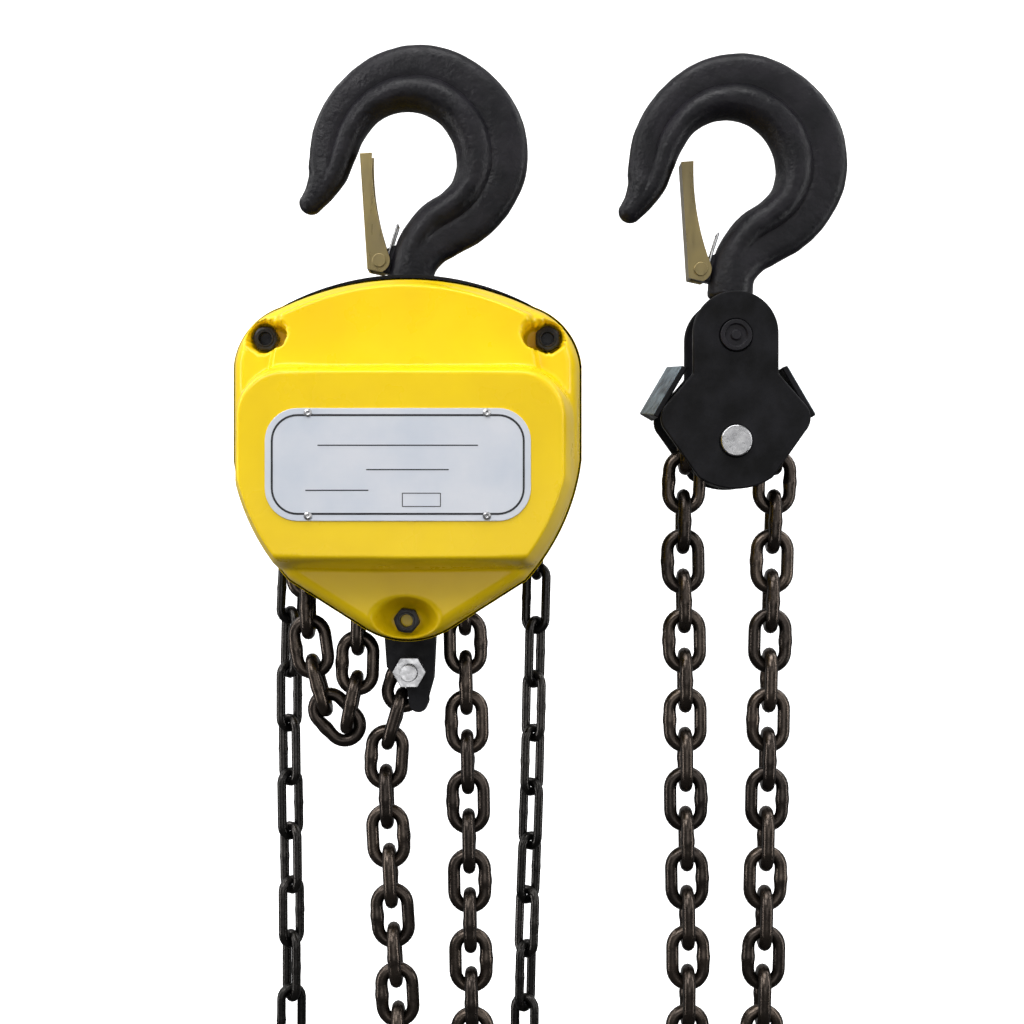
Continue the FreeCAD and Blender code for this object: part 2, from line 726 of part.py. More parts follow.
for label, tooth in zip(("upper", "lower"), PAWL_TEETH):
    solid(f"pawl_{label}", pawl(), facing(0, 33.35, AXIS_Z, 360 / RATCHET_TEETH * tooth))

group("pawl_pins", [
    fused([cylinder(facing(x, 36.6, z), "pawlPin", "36.6 - plateInner"),
           cylinder(facing(x, 37.6, z), "pawlPin + 1.5", "1")])
    for x, z in map(pawl_pivot, PAWL_TEETH)])


def pawl_spring():
    """Two turns of wire about the pawl pin with a leg out along the pawl's back."""
    radial, back = PAWL_ARM
    pivot = Vector(radial, -back, 0)
    wire, coil = 0.45, 3.2
    turns = [Part.makeTorus(coil, wire, pivot + Vector(0, 0, level)) for level in (-0.7, -1.5)]
    leg = Part.makeCylinder(wire, 13, pivot + Vector(coil, 0, -0.7), Vector(-0.12, 1, 0))
    step = Part.makeCylinder(wire, 0.8, pivot + Vector(-coil, 0, -1.5), UP)
    return turns[0].fuse([turns[1], leg, step])


def at_tooth(shape, tooth):
    placed = shape.copy()
    placed.rotate(Vector(), UP, 360 / RATCHET_TEETH * tooth)
    return placed


solid("pawl_springs", Part.makeCompound([at_tooth(pawl_spring(), tooth) for tooth in PAWL_TEETH]),
      facing(0, 33.35, AXIS_Z))

HAND_POCKETS = 7
HAND_WRAP = Wrap(size("handPitch"), size("handWire"), size("handWidth"), 2 * HAND_POCKETS)
HAND_START = 180 - HAND_WRAP.half_angle     # the left-hand pocket, just reached by the hanging strand


def hand_wheel():
    """A chain wheel about local z = 0 in the hand chain's plane; its hub clamps the brake."""
    shape = rod(18, -6, 10.5).fuse([rod(59, -8.2, 8.2).cut(rod(47, -9, 9)), rod(50, -2.5, 2.5)])
    shape = shape.fuse([washer(50, 62, 7.8, 9.6), washer(50, 62, -9.6, -7.8)])
    shape = shape.cut(washer(HAND_WRAP.groove, 70, -2.9, 2.9))
    step = 360 / HAND_POCKETS
    for i in range(HAND_POCKETS):
        shape = shape.cut(pocket(HAND_WRAP.seat, 36.4, 15.2, 20, HAND_START - step * i))
        turn = math.radians(step * i)
        shape = shape.cut(Part.makeCylinder(8, 20, Vector(33 * math.cos(turn), 33 * math.sin(turn), -10)))
    return shape.removeSplitter().cut(rod(size("shaftRadius"), -20, 20))


solid("hand_wheel", hand_wheel(), facing(0, HAND_Y, AXIS_Z))
keep(less(hexagon(facing(0, 65.8, AXIS_Z), "19", "13.6"),
          cylinder(facing(0, 67, AXIS_Z), "shaftRadius", "16")), "wheel_nut")
crosswise = Rotation(Vector(0, 1, 0), 90)
keep(fused([cylinder(Placement(Vector(-8, 68.5, AXIS_Z), crosswise), "1", "16"),
            cylinder(Placement(Vector(-10, 68.5, AXIS_Z), crosswise), "2", "2.2")]), "split_pin")


# ---------------------------------------------------------------- top yoke and hook block
def top_yoke():
    pin_z = size("yokePinZ")
    sides = outline([(-17, -60), (17, -60), (17, -92), ((0, -101), (-17, -92))])
    shape = slab(sides, -PLATE_IN + 1, PLATE_IN - 1)
    window = outline([(-12.5, -71), (12.5, -71), (12.5, -83), (-12.5, -83)])
    shape = shape.cut(slab(window, -20, 20))
    shape = shape.cut(cross_bar(size("yokePinRadius + runningGap"), 50, 0, -25, pin_z))
    return shape.cut(Part.makeCylinder(size("neckRadius + runningGap"), 20, Vector(0, 0, -75)))


solid("top_yoke", top_yoke())


def block_outline():
    return outline([
        (-19, -81.2), ((0, -62.2), (19, -81.2)), (19, -99), (31.5, -113.5), ((33.2, -119), (31, -124.5)),
        (16.5, -145), ((0, -150.2), (-16.5, -145)), (-31, -124.5), ((-33.2, -119), (-31.5, -113.5)), (-19, -99)])


for label, back in (("block_plate_front", -size("blockPlateInner")),
                    ("block_plate_rear", size("blockPlateInner + blockPlateThick"))):
    plate = new_body(label, Placement(Vector(BLOCK_X, 0, 0), Rotation()))
    plan = new_sketch(plate, "XZ_Plane", -back)
    draw(plan, block_outline())
    circle(plan, 0, TRUNNION_Z, "trunnionJournal + runningGap")
    circle(plan, 0, IDLER_Z, "idlerPinRadius")
    pad(plate, plan, "blockPlateThick")


GUARD_THICK = 7.2
GUARD_TAPER = 4.5


def guards():
    """Thick slabs that bridge the block's plates and keep the chain on its sheave, thinner at the front."""
    inner = size("blockPlateInner")
    outer_edge = ((27.3, -92.8), (40.2, -114.9))
    inward = (-0.864, -0.502)
    slabs = []
    for s in (-1, 1):
        wires = []
        for y, cut_back in ((-inner, GUARD_TAPER), (inner, 0.0)):
            depths = (cut_back, cut_back, GUARD_THICK, GUARD_THICK)
            corners = [(x + inward[0] * depth, z + inward[1] * depth)
                       for (x, z), depth in zip(outer_edge + outer_edge[::-1], depths)]
            wires.append(Part.makePolygon([Vector(BLOCK_X + s * x, y, z) for x, z in corners + corners[:1]]))
        slabs.append(Part.makeLoft(wires, True, True))
    return Part.makeCompound(slabs)


solid("block_guards", guards())
keep(fused([cylinder(facing(BLOCK_X, 21.5, IDLER_Z), "idlerPinRadius", "44"),
            cylinder(facing(BLOCK_X, 22.6, IDLER_Z), "idlerPinRadius + 1.6", "2.6")]), "idler_pin")


def trunnion():
    """A round bar with two flats, a journal in each plate and a ring turned in each end."""
    radius = size("trunnionRadius")
    inner = size("blockPlateInner") - 0.5
    end = 21.2
    groove_deep = 1.2
    bar = cross_bar(radius + 3.6, 2 * inner, BLOCK_X, -inner, TRUNNION_Z)
    trim = Part.makeBox(60, 60, 2 * radius, Vector(BLOCK_X - 30, -30, TRUNNION_Z - radius))
    journal = cross_bar(size("trunnionJournal"), 2 * end, BLOCK_X, -end, TRUNNION_Z)
    shape = bar.common(trim).fuse(journal).removeSplitter()
    for y in (-end, end - groove_deep):
        groove = cross_bar(4.9, groove_deep, BLOCK_X, y, TRUNNION_Z)
        shape = shape.cut(groove.cut(cross_bar(2.2, groove_deep, BLOCK_X, y, TRUNNION_Z)))
    return shape.cut(Part.makeCylinder(size("neckRadius + runningGap"), 60, Vector(BLOCK_X, 0, TRUNNION_Z - 30)))


solid("bottom_trunnion", trunnion())

# ---------------------------------------------------------------- hooks and latches
LATCH_PIVOT = (-14.0, -47.0)
HOOK_SECTIONS = (
    # angle about the bowl centre, inner radius, outer radius, half thickness along Y
    (181, 25.6, 46.4, 8.4), (158, 23.2, 46.4, 9.4), (132, 22.8, 47.4, 10.2), (105, 22.1, 50.2, 10.8),
    (78, 21.3, 52.4, 11.2), (50, 20.6, 52.8, 11.4), (22, 20.3, 53.6, 11.4), (-5, 20.8, 53.0, 11.2),
    (-28, 21.4, 50.8, 11.0), (-48, 21.0, 49.2, 10.8))


def hook_stations():
    """Centre, radial half width, half thickness and outward direction of each section, nose to shank."""
    stations = [((-44.6, -18.6), 5.0, 4.8, (-0.86, 0.5)), ((-42.2, -13.6), 6.6, 6.4, (-0.9, 0.42)),
                ((-38.4, -7.2), 9.0, 7.6, (-0.96, 0.27))]
    for angle, inner, outer, thick in HOOK_SECTIONS:
        turn = math.radians(angle)
        middle = (inner + outer) / 2
        outward = (math.cos(turn), math.sin(turn))
        stations.append(((middle * outward[0], middle * outward[1]), (outer - inner) / 2, thick, outward))
    stations += [((12.6, -33.0), 13.4, 10.8, (0.62, -0.785)), ((5.0, -41.0), 11.6, 10.6, (0.86, -0.51)),
                 ((0.8, -50.0), 10.4, 10.4, (0.99, -0.14)), ((0.0, -57.5), 10.4, 10.4, (1, 0))]
    return stations


def hook(neck_end):
    wires = []
    for (x, z), wide, thick, outward in hook_stations():
        ellipse = Part.Ellipse(Vector(), max(wide, thick), min(wide, thick)).toShape()
        wire = Part.Wire(ellipse)
        along = Vector(outward[0], 0, outward[1])
        across = Vector(0, 1, 0)
        if wide >= thick:
            axes = (along, across)
        else:
            axes = (across, along * -1)
        normal = axes[0].cross(axes[1])
        frame = Rotation(axes[0], axes[1], normal, "ZXY")
        wire.Placement = Placement(Vector(x, 0, z), frame)
        wires.append(wire)
    body = Part.makeLoft(wires, True, False)
    nose = Part.makeSphere(5.4, Vector(-45.0, 0, -19.1))
    lug = slab(outline([(-2, -55), (-14, -51.5), ((-18.4, -48.2), (-15.4, -42.7)), (-4, -38.0)]), -3.2, 3.2)
    shank = Part.makeCylinder(10.4, 2.3, Vector(0, 0, -59.6)).fuse(
        Part.makeCylinder(size("neckRadius"), -57 - neck_end, Vector(0, 0, neck_end)))
    shape = body.fuse([nose, lug, shank]).removeSplitter()
    return shape.cut(cross_bar(size("latchRivet"), 20, LATCH_PIVOT[0], -10, LATCH_PIVOT[1]))


def latch():
    """Folded sheet: a web on the throat side and two cheeks that straddle the hook's lug."""
    cheek = outline([(-19.4, -51.0), (-22.8, 1.4), (-17.2, 1.8), ((-15.6, -22.0), (-9.6, -44.5)),
                     ((-9.9, -49.8), (-13.0, -52.4))])
    between = outline([(-17.9, -60), (-21.4, 8), (10, 8), (10, -60)])
    shape = slab(cheek, -6.2, 6.2).cut(slab(between, -5.0, 5.0))
    return shape.cut(cross_bar(size("latchRivet + runningGap"), 20, LATCH_PIVOT[0], -10, LATCH_PIVOT[1]))


def latch_rivet():
    x, z = LATCH_PIVOT
    heads = [cross_bar(3.1, 1.0, x, y, z) for y in (-7.4, 6.4)]
    return cross_bar(size("latchRivet"), 14.4, x, -7.2, z).fuse(heads).removeSplitter()


def latch_spring():
    """Double torsion spring: a coil each side of the lug and a bridge lying on the hook's throat."""
    x, z = LATCH_PIVOT
    wire, coil, half_gap = 0.5, 3.0, 4.2
    lean = Vector(0.30, 0, 0.954)
    pieces = []
    for s in (-1, 1):
        pieces.append(Part.makeTorus(coil, wire, Vector(x, s * half_gap, z), Vector(0, 1, 0)))
        pieces.append(Part.makeCylinder(wire, 17.5, Vector(x + coil, s * half_gap, z), lean))
    end = Vector(x + coil, 0, z) + lean * 17.2
    pieces.append(cross_bar(wire, 2 * half_gap, end.x, -half_gap, end.z))
    return pieces[0].fuse(pieces[1:])


for name, x, z, neck_end, nut_radius in (("top", 0.0, 0.0, -80.0, "11.6"),
                                         ("bottom", BLOCK_X, size("blockHookZ"), -94.3, "10.2")):
    place = upright(x, 0, z)
    solid(f"{name}_hook", hook(neck_end), place)
    solid(f"{name}_latch", latch(), place)
    solid(f"{name}_latch_rivet", latch_rivet(), place)
    solid(f"{name}_latch_spring", latch_spring(), place)
    ring(f"{name}_hook_nut", upright(x, 0, z + neck_end + 0.2), "neckRadius", nut_radius, "6")


# ---------------------------------------------------------------- chains
def link(wire, long, wide):
    """One link in its own frame: long along z, its opening facing y."""
    radius = wire / 2
    bend = wide / 2 - radius
    straight = long / 2 - radius - bend
    pieces = []
    for s in (-1, 1):
        pieces.append(Part.makeCylinder(radius, 2 * straight, Vector(s * bend, 0, -straight)))
        half_space = Part.makeBox(4 * bend, 4 * bend, 4 * bend,
                                  Vector(-2 * bend, -2 * bend, 0 if s > 0 else -4 * bend))
        arch = Part.makeTorus(bend, radius, Vector(), Vector(0, 1, 0)).common(half_space)
        arch.translate(Vector(0, 0, s * straight))
        pieces.append(arch)
    return pieces[0].fuse(pieces[1:]).removeSplitter()


def bearing_points(joints, reach, first_flat):
    """Where the wires of the flat links stand: each joint moved by the reach, away from its flat link."""
    spots = []
    last = len(joints) - 1
    for i, (x, z) in enumerate(joints):
        (x1, z1), (x2, z2) = joints[max(i - 1, 0)], joints[min(i + 1, last)]
        run = math.hypot(x2 - x1, z2 - z1)
        flat_follows = (i % 2 == 0) == first_flat
        step = (-reach if flat_follows else reach) / run
        spots.append((x + (x2 - x1) * step, z + (z2 - z1) * step))
    return spots


def laid(model, spots, rolls, y=0.0):
    """Copies of a link between successive points (x, z), each rolled about its own length."""
    copies = []
    for (x1, z1), (x2, z2), roll in zip(spots, spots[1:], rolls):
        along = Vector(x2 - x1, 0, z2 - z1)
        placed = model.copy()
        turn = Rotation(UP, along).multiply(Rotation(UP, roll))
        placed.Placement = Placement(Vector((x1 + x2) / 2, y, (z1 + z2) / 2), turn)
        copies.append(placed)
    return copies


def alternate(count, first_flat=False):
    """Rolls of a chain that shows every other link face on."""
    return [90 if (i % 2 == 0) == first_flat else 0 for i in range(count)]


def hung(model, joints, reach, first_flat=False):
    return laid(model, bearing_points(joints, reach, first_flat), alternate(len(joints) - 1, first_flat))


def loop(down, up, pitch, parity, depth_guess):
    """Joints of a hanging loop: a strand down, half an ellipse, a strand up, in whole pitches."""
    foot_x = (down[-1][0] + up[0][0]) / 2
    half = (up[0][0] - down[-1][0]) / 2

    def path(depth):
        bottom = []
        for i in range(1, 24):
            a = math.pi * i / 24
            bottom.append(Vector(foot_x - half * math.cos(a), down[-1][1] - depth * math.sin(a), 0))
        curve = Part.BSplineCurve()
        curve.interpolate([Vector(x, z, 0) for x, z in down] + bottom + [Vector(x, z, 0) for x, z in up])
        return curve.toShape()

    count = round(path(depth_guess).Length / pitch)
    if count % 2 != parity:
        count += 1
    low, high = depth_guess * 0.5, depth_guess * 1.7
    for _ in range(40):
        middle = (low + high) / 2
        low, high = (middle, high) if path(middle).Length < count * pitch else (low, middle)
    return [(p.x, p.y) for p in path(middle).discretize(Number=count + 1)]


PITCH = size("loadPitch")
WIRE = size("loadWire")
REACH = WIRE / 2 + SLACK        # from a joint to the end wire's centre
LOAD_LINK = link(WIRE, PITCH + 2 * (REACH + WIRE / 2), size("loadWidth"))
on_sheave = LOAD_WRAP.spots(0, AXIS_Z, SHEAVE_TURN, 4)
solid("load_chain_on_sheave", Part.makeCompound(laid(LOAD_LINK, on_sheave, alternate(4, True))))
on_idler = LOAD_WRAP.spots(BLOCK_X, IDLER_Z, 180, 5, -1)
solid("load_chain_on_idler", Part.makeCompound(laid(LOAD_LINK, on_idler, alternate(5, True))))


def below(spot, reach):
    """The joint that a hanging strand starts from, under a wheel's last wire point."""
    return (spot[0], spot[1] + reach)


LOOP_TOP = -395.0
inner = loop([below(on_sheave[0], REACH), (23.9, -183), (24.9, -230), (26.2, -300), (27.9, LOOP_TOP)],
             [(125.6, LOOP_TOP), (124.9, -300), (124.1, -210), (123.5, -170), below(on_idler[0], REACH)],
             PITCH, 1, 62)
solid("load_chain_inner_loop", Part.makeCompound(hung(LOAD_LINK, inner, REACH)))
FIRST_LINK = Vector(0.34, 0, 0.94)      # the anchored link's lean, toward the anchor bolt
anchor_joint = Vector(0, 0, size("anchorZ")) + FIRST_LINK * (size("anchorRadius") - SLACK)
second_joint = anchor_joint - FIRST_LINK * PITCH
outer = loop([below(on_idler[-1], REACH), (164.4, -170), (163.3, -210), (161.5, -300), (159.4, LOOP_TOP)],
             [(-5.5, LOOP_TOP), (-8.9, -334), (-10.8, -298), (-11.2, -272), (second_joint.x, second_joint.z)],
             PITCH, 0, 105)
outer.append((anchor_joint.x, anchor_joint.z))
solid("load_chain_outer_loop", Part.makeCompound(hung(LOAD_LINK, outer, REACH)))

# The free end hangs slack from the sheave, turns up at a tilted link and is pinned between the plates.
slack_down = [(on_sheave[-1][0], on_sheave[-1][1] - REACH), (-23.4, -147.9), (-23.6, -165.9), (-23.6, -183.9),
              (-23.7, -201.9), (-24.0, -219.9), (-24.8, -237.9), (-28.6, -255.5)]
slack_foot = [(-27.4, -260.1), (-39.8, -247.1)]
slack_up = [(-39.2, -247.6), (-44.1, -230.3), (-46.6, -212.5), (-46.9, -194.5), (-46.9, -176.5)]
tail_links = hung(LOAD_LINK, slack_down, REACH, True) + laid(LOAD_LINK, slack_foot, (0,))
tail_links += laid(LOAD_LINK, slack_up, alternate(len(slack_up) - 1, True))
solid("load_chain_tail", Part.makeCompound(tail_links))

HAND_PITCH = size("handPitch")
HAND_WIRE = size("handWire")
HAND_REACH = HAND_WIRE / 2 + SLACK
HAND_LINK = link(HAND_WIRE, HAND_PITCH + 2 * (HAND_REACH + HAND_WIRE / 2), size("handWidth"))
on_wheel = HAND_WRAP.spots(0, AXIS_Z, HAND_START, 7, -1)
HAND_TOP = -440.0
hanging = loop([below(on_wheel[-1], HAND_REACH), (58.3, -165), (57.2, -215), (55.2, -300), (52.2, -390),
                (51.5, HAND_TOP)],
               [(-60.2, HAND_TOP), (-60.4, -390), (-61.0, -300), (-61.0, -215), (-58.8, -165),
                below(on_wheel[0], HAND_REACH)],
               HAND_PITCH, 1, 55)
middle = (len(hanging) - 2) / 2
hand_rolls = []
for i, roll in enumerate(alternate(len(hanging) - 1)):
    ease = max(0, min(i, len(hanging) - 2 - i, abs(i - middle) - 3, 4)) / 4
    hand_rolls.append(roll + 45 * ease)
hanging_spots = bearing_points(hanging, HAND_REACH, False)
solid("hand_chain", Part.makeCompound(
    laid(HAND_LINK, on_wheel, alternate(7, True), HAND_Y) + laid(HAND_LINK, hanging_spots, hand_rolls, HAND_Y)))

# ---------------------------------------------------------------- check and write
doc.recompute()
os.makedirs("parts", exist_ok=True)
for obj in doc.Objects:
    if {"Invalid", "Error"} & set(obj.State):
        raise RuntimeError(f"{obj.Name} ({obj.Label}) did not compute: {obj.State}")
labels = [part.Label for part in PARTS]
if len(set(labels)) != len(labels) or len(labels) > 60:
    raise RuntimeError(f"{len(labels)} sub-parts, {len(set(labels))} different labels")
for part in PARTS:
    shape = part.Shape
    if shape.isNull() or not shape.isValid() or not shape.Solids:
        raise RuntimeError(f"{part.Label} has no valid solid")
for part in PARTS:
    part.Shape.exportStep(os.path.join("parts", part.Label + ".step"))
    span = part.Shape.BoundBox
    print(f"{part.Label:24s} solids {len(part.Shape.Solids):3d}  volume {part.Shape.Volume:9.0f}  "
          f"x {span.XMin:7.1f} {span.XMax:7.1f}  y {span.YMin:6.1f} {span.YMax:6.1f}  "
          f"z {span.ZMin:7.1f} {span.ZMax:7.1f}")
print(len(PARTS), "sub-parts written")
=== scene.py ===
# %% [markdown]
# # A hand chain hoist, piece by piece
# This lesson adds the finishes and the finer shapes around it. Lengths below are in millimetres, as a maker
# would say them, and `mm` turns them into Blender's metres.

# %% Load the frame and set out the helpers
import json
import math
import bmesh
import bpy
import numpy as np
from mathutils import Matrix, Vector, noise


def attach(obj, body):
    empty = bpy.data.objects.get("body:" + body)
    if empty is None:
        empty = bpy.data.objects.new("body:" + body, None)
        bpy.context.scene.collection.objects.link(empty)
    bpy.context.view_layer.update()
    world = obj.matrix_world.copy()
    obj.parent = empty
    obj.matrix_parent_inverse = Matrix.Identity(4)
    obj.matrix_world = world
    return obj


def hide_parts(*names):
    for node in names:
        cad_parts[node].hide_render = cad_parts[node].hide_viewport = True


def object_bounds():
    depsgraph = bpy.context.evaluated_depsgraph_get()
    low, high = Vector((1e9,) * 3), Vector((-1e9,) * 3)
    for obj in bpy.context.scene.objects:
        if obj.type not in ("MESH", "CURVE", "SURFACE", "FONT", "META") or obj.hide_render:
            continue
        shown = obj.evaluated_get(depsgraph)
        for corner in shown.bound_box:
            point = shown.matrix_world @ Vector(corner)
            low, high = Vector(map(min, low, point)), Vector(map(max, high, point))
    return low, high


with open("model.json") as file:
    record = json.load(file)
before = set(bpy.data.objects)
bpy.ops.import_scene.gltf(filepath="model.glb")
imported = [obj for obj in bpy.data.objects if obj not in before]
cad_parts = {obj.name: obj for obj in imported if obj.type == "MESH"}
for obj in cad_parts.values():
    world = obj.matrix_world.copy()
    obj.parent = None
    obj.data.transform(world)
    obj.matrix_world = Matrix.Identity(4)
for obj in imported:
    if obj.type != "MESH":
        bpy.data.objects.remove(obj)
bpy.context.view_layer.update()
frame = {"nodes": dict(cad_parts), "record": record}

mm = 0.001
HOME = "hoist_frame"
body_of_node = {}
for body, nodes in frame["record"]["behaviour"]["bodies"].items():
    for node in nodes:
        body_of_node[node] = body
slot_of_node = {entry["node"]: entry["material_slot"] for entry in frame["record"]["subparts"]}

# %% [markdown]
# ## Finishes
# Every finish is one Principled shader fed by noise in Object coordinates, so it stays on the part from any
# side. A coarse noise shifts the colour and the gloss a little, as handling and uneven paint do, and a fine one
# gives the surface its grain. Values that are the same all over sit on the shader's own sockets.

# %% Helpers for node trees
def add_node(tree, kind, feed=None, **settings):
    made = tree.nodes.new(kind)
    for name, value in settings.items():
        setattr(made, name, value)
    for name, value in (feed or {}).items():
        socket = made.inputs[name]
        if isinstance(value, bpy.types.NodeSocket):
            tree.links.new(value, socket)
        else:
            socket.default_value = value
    return made


def start_finish(name):
    material = bpy.data.materials.new(name)
    material.use_nodes = True
    tree = material.node_tree
    shader = tree.nodes["Principled BSDF"]
    place = add_node(tree, "ShaderNodeTexCoord").outputs["Object"]
    return material, tree, shader, place


def cloud(tree, place, scale, detail=4.0):
    """A noise pattern; scale is in features per metre."""
    return add_node(tree, "ShaderNodeTexNoise", {"Vector": place, "Scale": scale, "Detail": detail}).outputs[0]


def spread(tree, value, low, high, start=0.35, end=0.65):
    ranged = add_node(tree, "ShaderNodeMapRange", {"Value": value, "From Min": start, "From Max": end,
                                                   "To Min": low, "To Max": high}, clamp=True)
    return ranged.outputs[0]


def mixed(tree, factor, first, second):
    mix = add_node(tree, "ShaderNodeMix", {0: factor}, data_type="RGBA")
    for index, colour in ((6, first), (7, second)):
        if isinstance(colour, bpy.types.NodeSocket):
            tree.links.new(colour, mix.inputs[index])
        else:
            mix.inputs[index].default_value = (*colour, 1)
    return mix.outputs[2]


def finish(name, base, other, gloss, metallic=0.0, patch=60, grain=0.0, grain_size=900, specular=0.5, coat=0.0):
    """A finish between two colours; gloss is the range of roughness, grain the depth of the bump."""
    material, tree, shader, place = start_finish(name)
    patches = cloud(tree, place, patch)
    tree.links.new(mixed(tree, spread(tree, patches, 0, 1), base, other), shader.inputs["Base Color"])
    tree.links.new(spread(tree, cloud(tree, place, patch * 2.3), *gloss), shader.inputs["Roughness"])
    shader.inputs["Metallic"].default_value = metallic
    shader.inputs["Specular IOR Level"].default_value = specular
    shader.inputs["Coat Weight"].default_value = coat
    shader.inputs["Coat Roughness"].default_value = 0.12
    if grain:
        fine = cloud(tree, place, grain_size, 6.0)
        bump = add_node(tree, "ShaderNodeBump", {"Height": fine, "Strength": grain, "Distance": 0.0004})
        tree.links.new(bump.outputs[0], shader.inputs["Normal"])
    return material


# %% [markdown]
# The gear cover is pressed steel in yellow enamel. The plates are dipped black, the hooks are drop forged and
# left rough under black paint, and the chain is heat treated steel that has gone brown and is burnished where
# links rub. Latches are zinc plated and passivated, which gives them their gold.

# %% Make the finishes
look = {
    "yellow_enamel": finish("yellow_enamel", (0.88, 0.615, 0.002), (0.82, 0.555, 0.002), (0.26, 0.34), patch=25,
                            grain=0.03, grain_size=500, specular=0.3, coat=0.1),
    "black_enamel": finish("black_enamel", (0.0045, 0.0045, 0.005), (0.011, 0.011, 0.013), (0.30, 0.50),
                           patch=90, grain=0.3, grain_size=700, specular=0.1),
    "black_forging": finish("black_forging", (0.004, 0.004, 0.0055), (0.011, 0.010, 0.013), (0.30, 0.50),
                            patch=70, grain=0.9, grain_size=520, specular=0.2),
    "black_oxide": finish("black_oxide", (0.012, 0.012, 0.013), (0.03, 0.03, 0.032), (0.25, 0.4), 0.4,
                          patch=200),
    "bright_zinc": finish("bright_zinc", (0.55, 0.55, 0.56), (0.36, 0.36, 0.37), (0.22, 0.38), 1.0, patch=220,
                          grain=0.1, grain_size=900),
    "machined_steel": finish("machined_steel", (0.42, 0.42, 0.43), (0.30, 0.30, 0.31), (0.25, 0.4), 1.0,
                             patch=120),
    "cast_grey": finish("cast_grey", (0.10, 0.10, 0.10), (0.06, 0.06, 0.06), (0.5, 0.7), 0.6, patch=120,
                        grain=0.5, grain_size=600),
    "bronze_bush": finish("bronze_bush", (0.55, 0.34, 0.14), (0.42, 0.25, 0.10), (0.25, 0.4), 1.0, patch=150),
    "friction_lining": finish("friction_lining", (0.09, 0.05, 0.03), (0.05, 0.03, 0.02), (0.7, 0.9), patch=400,
                              grain=0.4, grain_size=1500),
    "worn_blue": finish("worn_blue", (0.05, 0.065, 0.08), (0.24, 0.31, 0.36), (0.25, 0.45), 0.55, patch=170,
                        grain=0.4, grain_size=500),
    "border_black": finish("border_black", (0.008, 0.008, 0.012), (0.012, 0.012, 0.016), (0.4, 0.5)),
}


def brushed(name, base, other, metallic, gloss, along):
    """Sheet metal with fine drawn lines; along is how much the grain is stretched on each axis."""
    material, tree, shader, place = start_finish(name)
    drawn = add_node(tree, "ShaderNodeMapping", {"Vector": place, "Scale": along}).outputs[0]
    lines = cloud(tree, drawn, 60)
    patches = cloud(tree, place, 45)
    colour = mixed(tree, spread(tree, patches, 0, 1), base, other)
    tree.links.new(colour, shader.inputs["Base Color"])
    tree.links.new(spread(tree, lines, *gloss), shader.inputs["Roughness"])
    shader.inputs["Metallic"].default_value = metallic
    return material


look["plate_silver"] = brushed("plate_silver", (0.56, 0.60, 0.67), (0.64, 0.66, 0.71), 0.2, (0.32, 0.46),
                               (1, 30, 30))
look["gold_zinc"] = brushed("gold_zinc", (0.38, 0.30, 0.13), (0.29, 0.235, 0.125), 1.0, (0.27, 0.34),
                            (12, 12, 1))


def chain_finish(name, base, other, rough, metallic):
    """Chain steel: each link carries its own `tone`, and a coarse noise varies its colour further."""
    material, tree, shader, place = start_finish(name)
    tone = add_node(tree, "ShaderNodeAttribute", attribute_name="tone").outputs["Fac"]
    patches = spread(tree, cloud(tree, place, 160), 0.25, 1, 0.3, 0.75)
    both = add_node(tree, "ShaderNodeMath", {0: tone, 1: patches}, operation="MULTIPLY").outputs[0]
    tree.links.new(mixed(tree, both, base, other), shader.inputs["Base Color"])
    tree.links.new(spread(tree, cloud(tree, place, 500), *rough), shader.inputs["Roughness"])
    fine = cloud(tree, place, 1100, 5.0)
    bump = add_node(tree, "ShaderNodeBump", {"Height": fine, "Strength": 0.15, "Distance": 0.0003})
    tree.links.new(bump.outputs[0], shader.inputs["Normal"])
    shader.inputs["Metallic"].default_value = metallic
    return material


look["chain_steel"] = chain_finish("chain_steel", (0.040, 0.033, 0.029), (0.115, 0.090, 0.072),
                                   (0.22, 0.34), 0.95)
look["hand_chain_steel"] = chain_finish("hand_chain_steel", (0.026, 0.025, 0.024), (0.070, 0.064, 0.060),
                                        (0.22, 0.36), 0.95)
print("finishes:", ", ".join(sorted(look)))

# %% Dress every part of the solid model
for node, part in frame["nodes"].items():
    part.data.materials.clear()
    part.data.materials.append(look[slot_of_node[node]])
print("dressed", len(frame["nodes"]), "parts")

# %% [markdown]
# ## Softened edges
# No real edge is perfectly sharp: a sheared plate has a small radius that catches the light. The solid model's
# mesh is loose triangles, so a copy is merged into one skin, its flat faces are joined, and a Bevel modifier
# rounds what is left. The copy stands for the part it came from.

# %% Helpers for meshes
def new_piece(name, mesh, body=HOME, stands_for=()):
    piece = bpy.data.objects.new(name, mesh)
    bpy.context.scene.collection.objects.link(piece)
    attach(piece, body)
    if stands_for:
        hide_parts(*stands_for)
    return piece


def mesh_from(name, points, faces, material, smooth=True):
    """A mesh from points in millimetres."""
    mesh = bpy.data.meshes.new(name)
    mesh.from_pydata([tuple(c * mm for c in p) for p in points], [], faces)
    mesh.materials.append(material)
    if smooth:
        mesh.shade_smooth()
    return mesh


def outward(mesh):
    bm = bmesh.new()
    bm.from_mesh(mesh)
    bmesh.ops.remove_doubles(bm, verts=bm.verts, dist=1e-7)
    bmesh.ops.recalc_face_normals(bm, faces=bm.faces)
    bm.to_mesh(mesh)
    bm.free()


def welded_copy(node):
    mesh = frame["nodes"][node].data.copy()
    bm = bmesh.new()
    bm.from_mesh(mesh)
    bmesh.ops.remove_doubles(bm, verts=bm.verts, dist=2e-6)
    bmesh.ops.dissolve_limit(bm, angle_limit=math.radians(1.0), verts=bm.verts, edges=bm.edges)
    bm.to_mesh(mesh)
    bm.free()
    return mesh


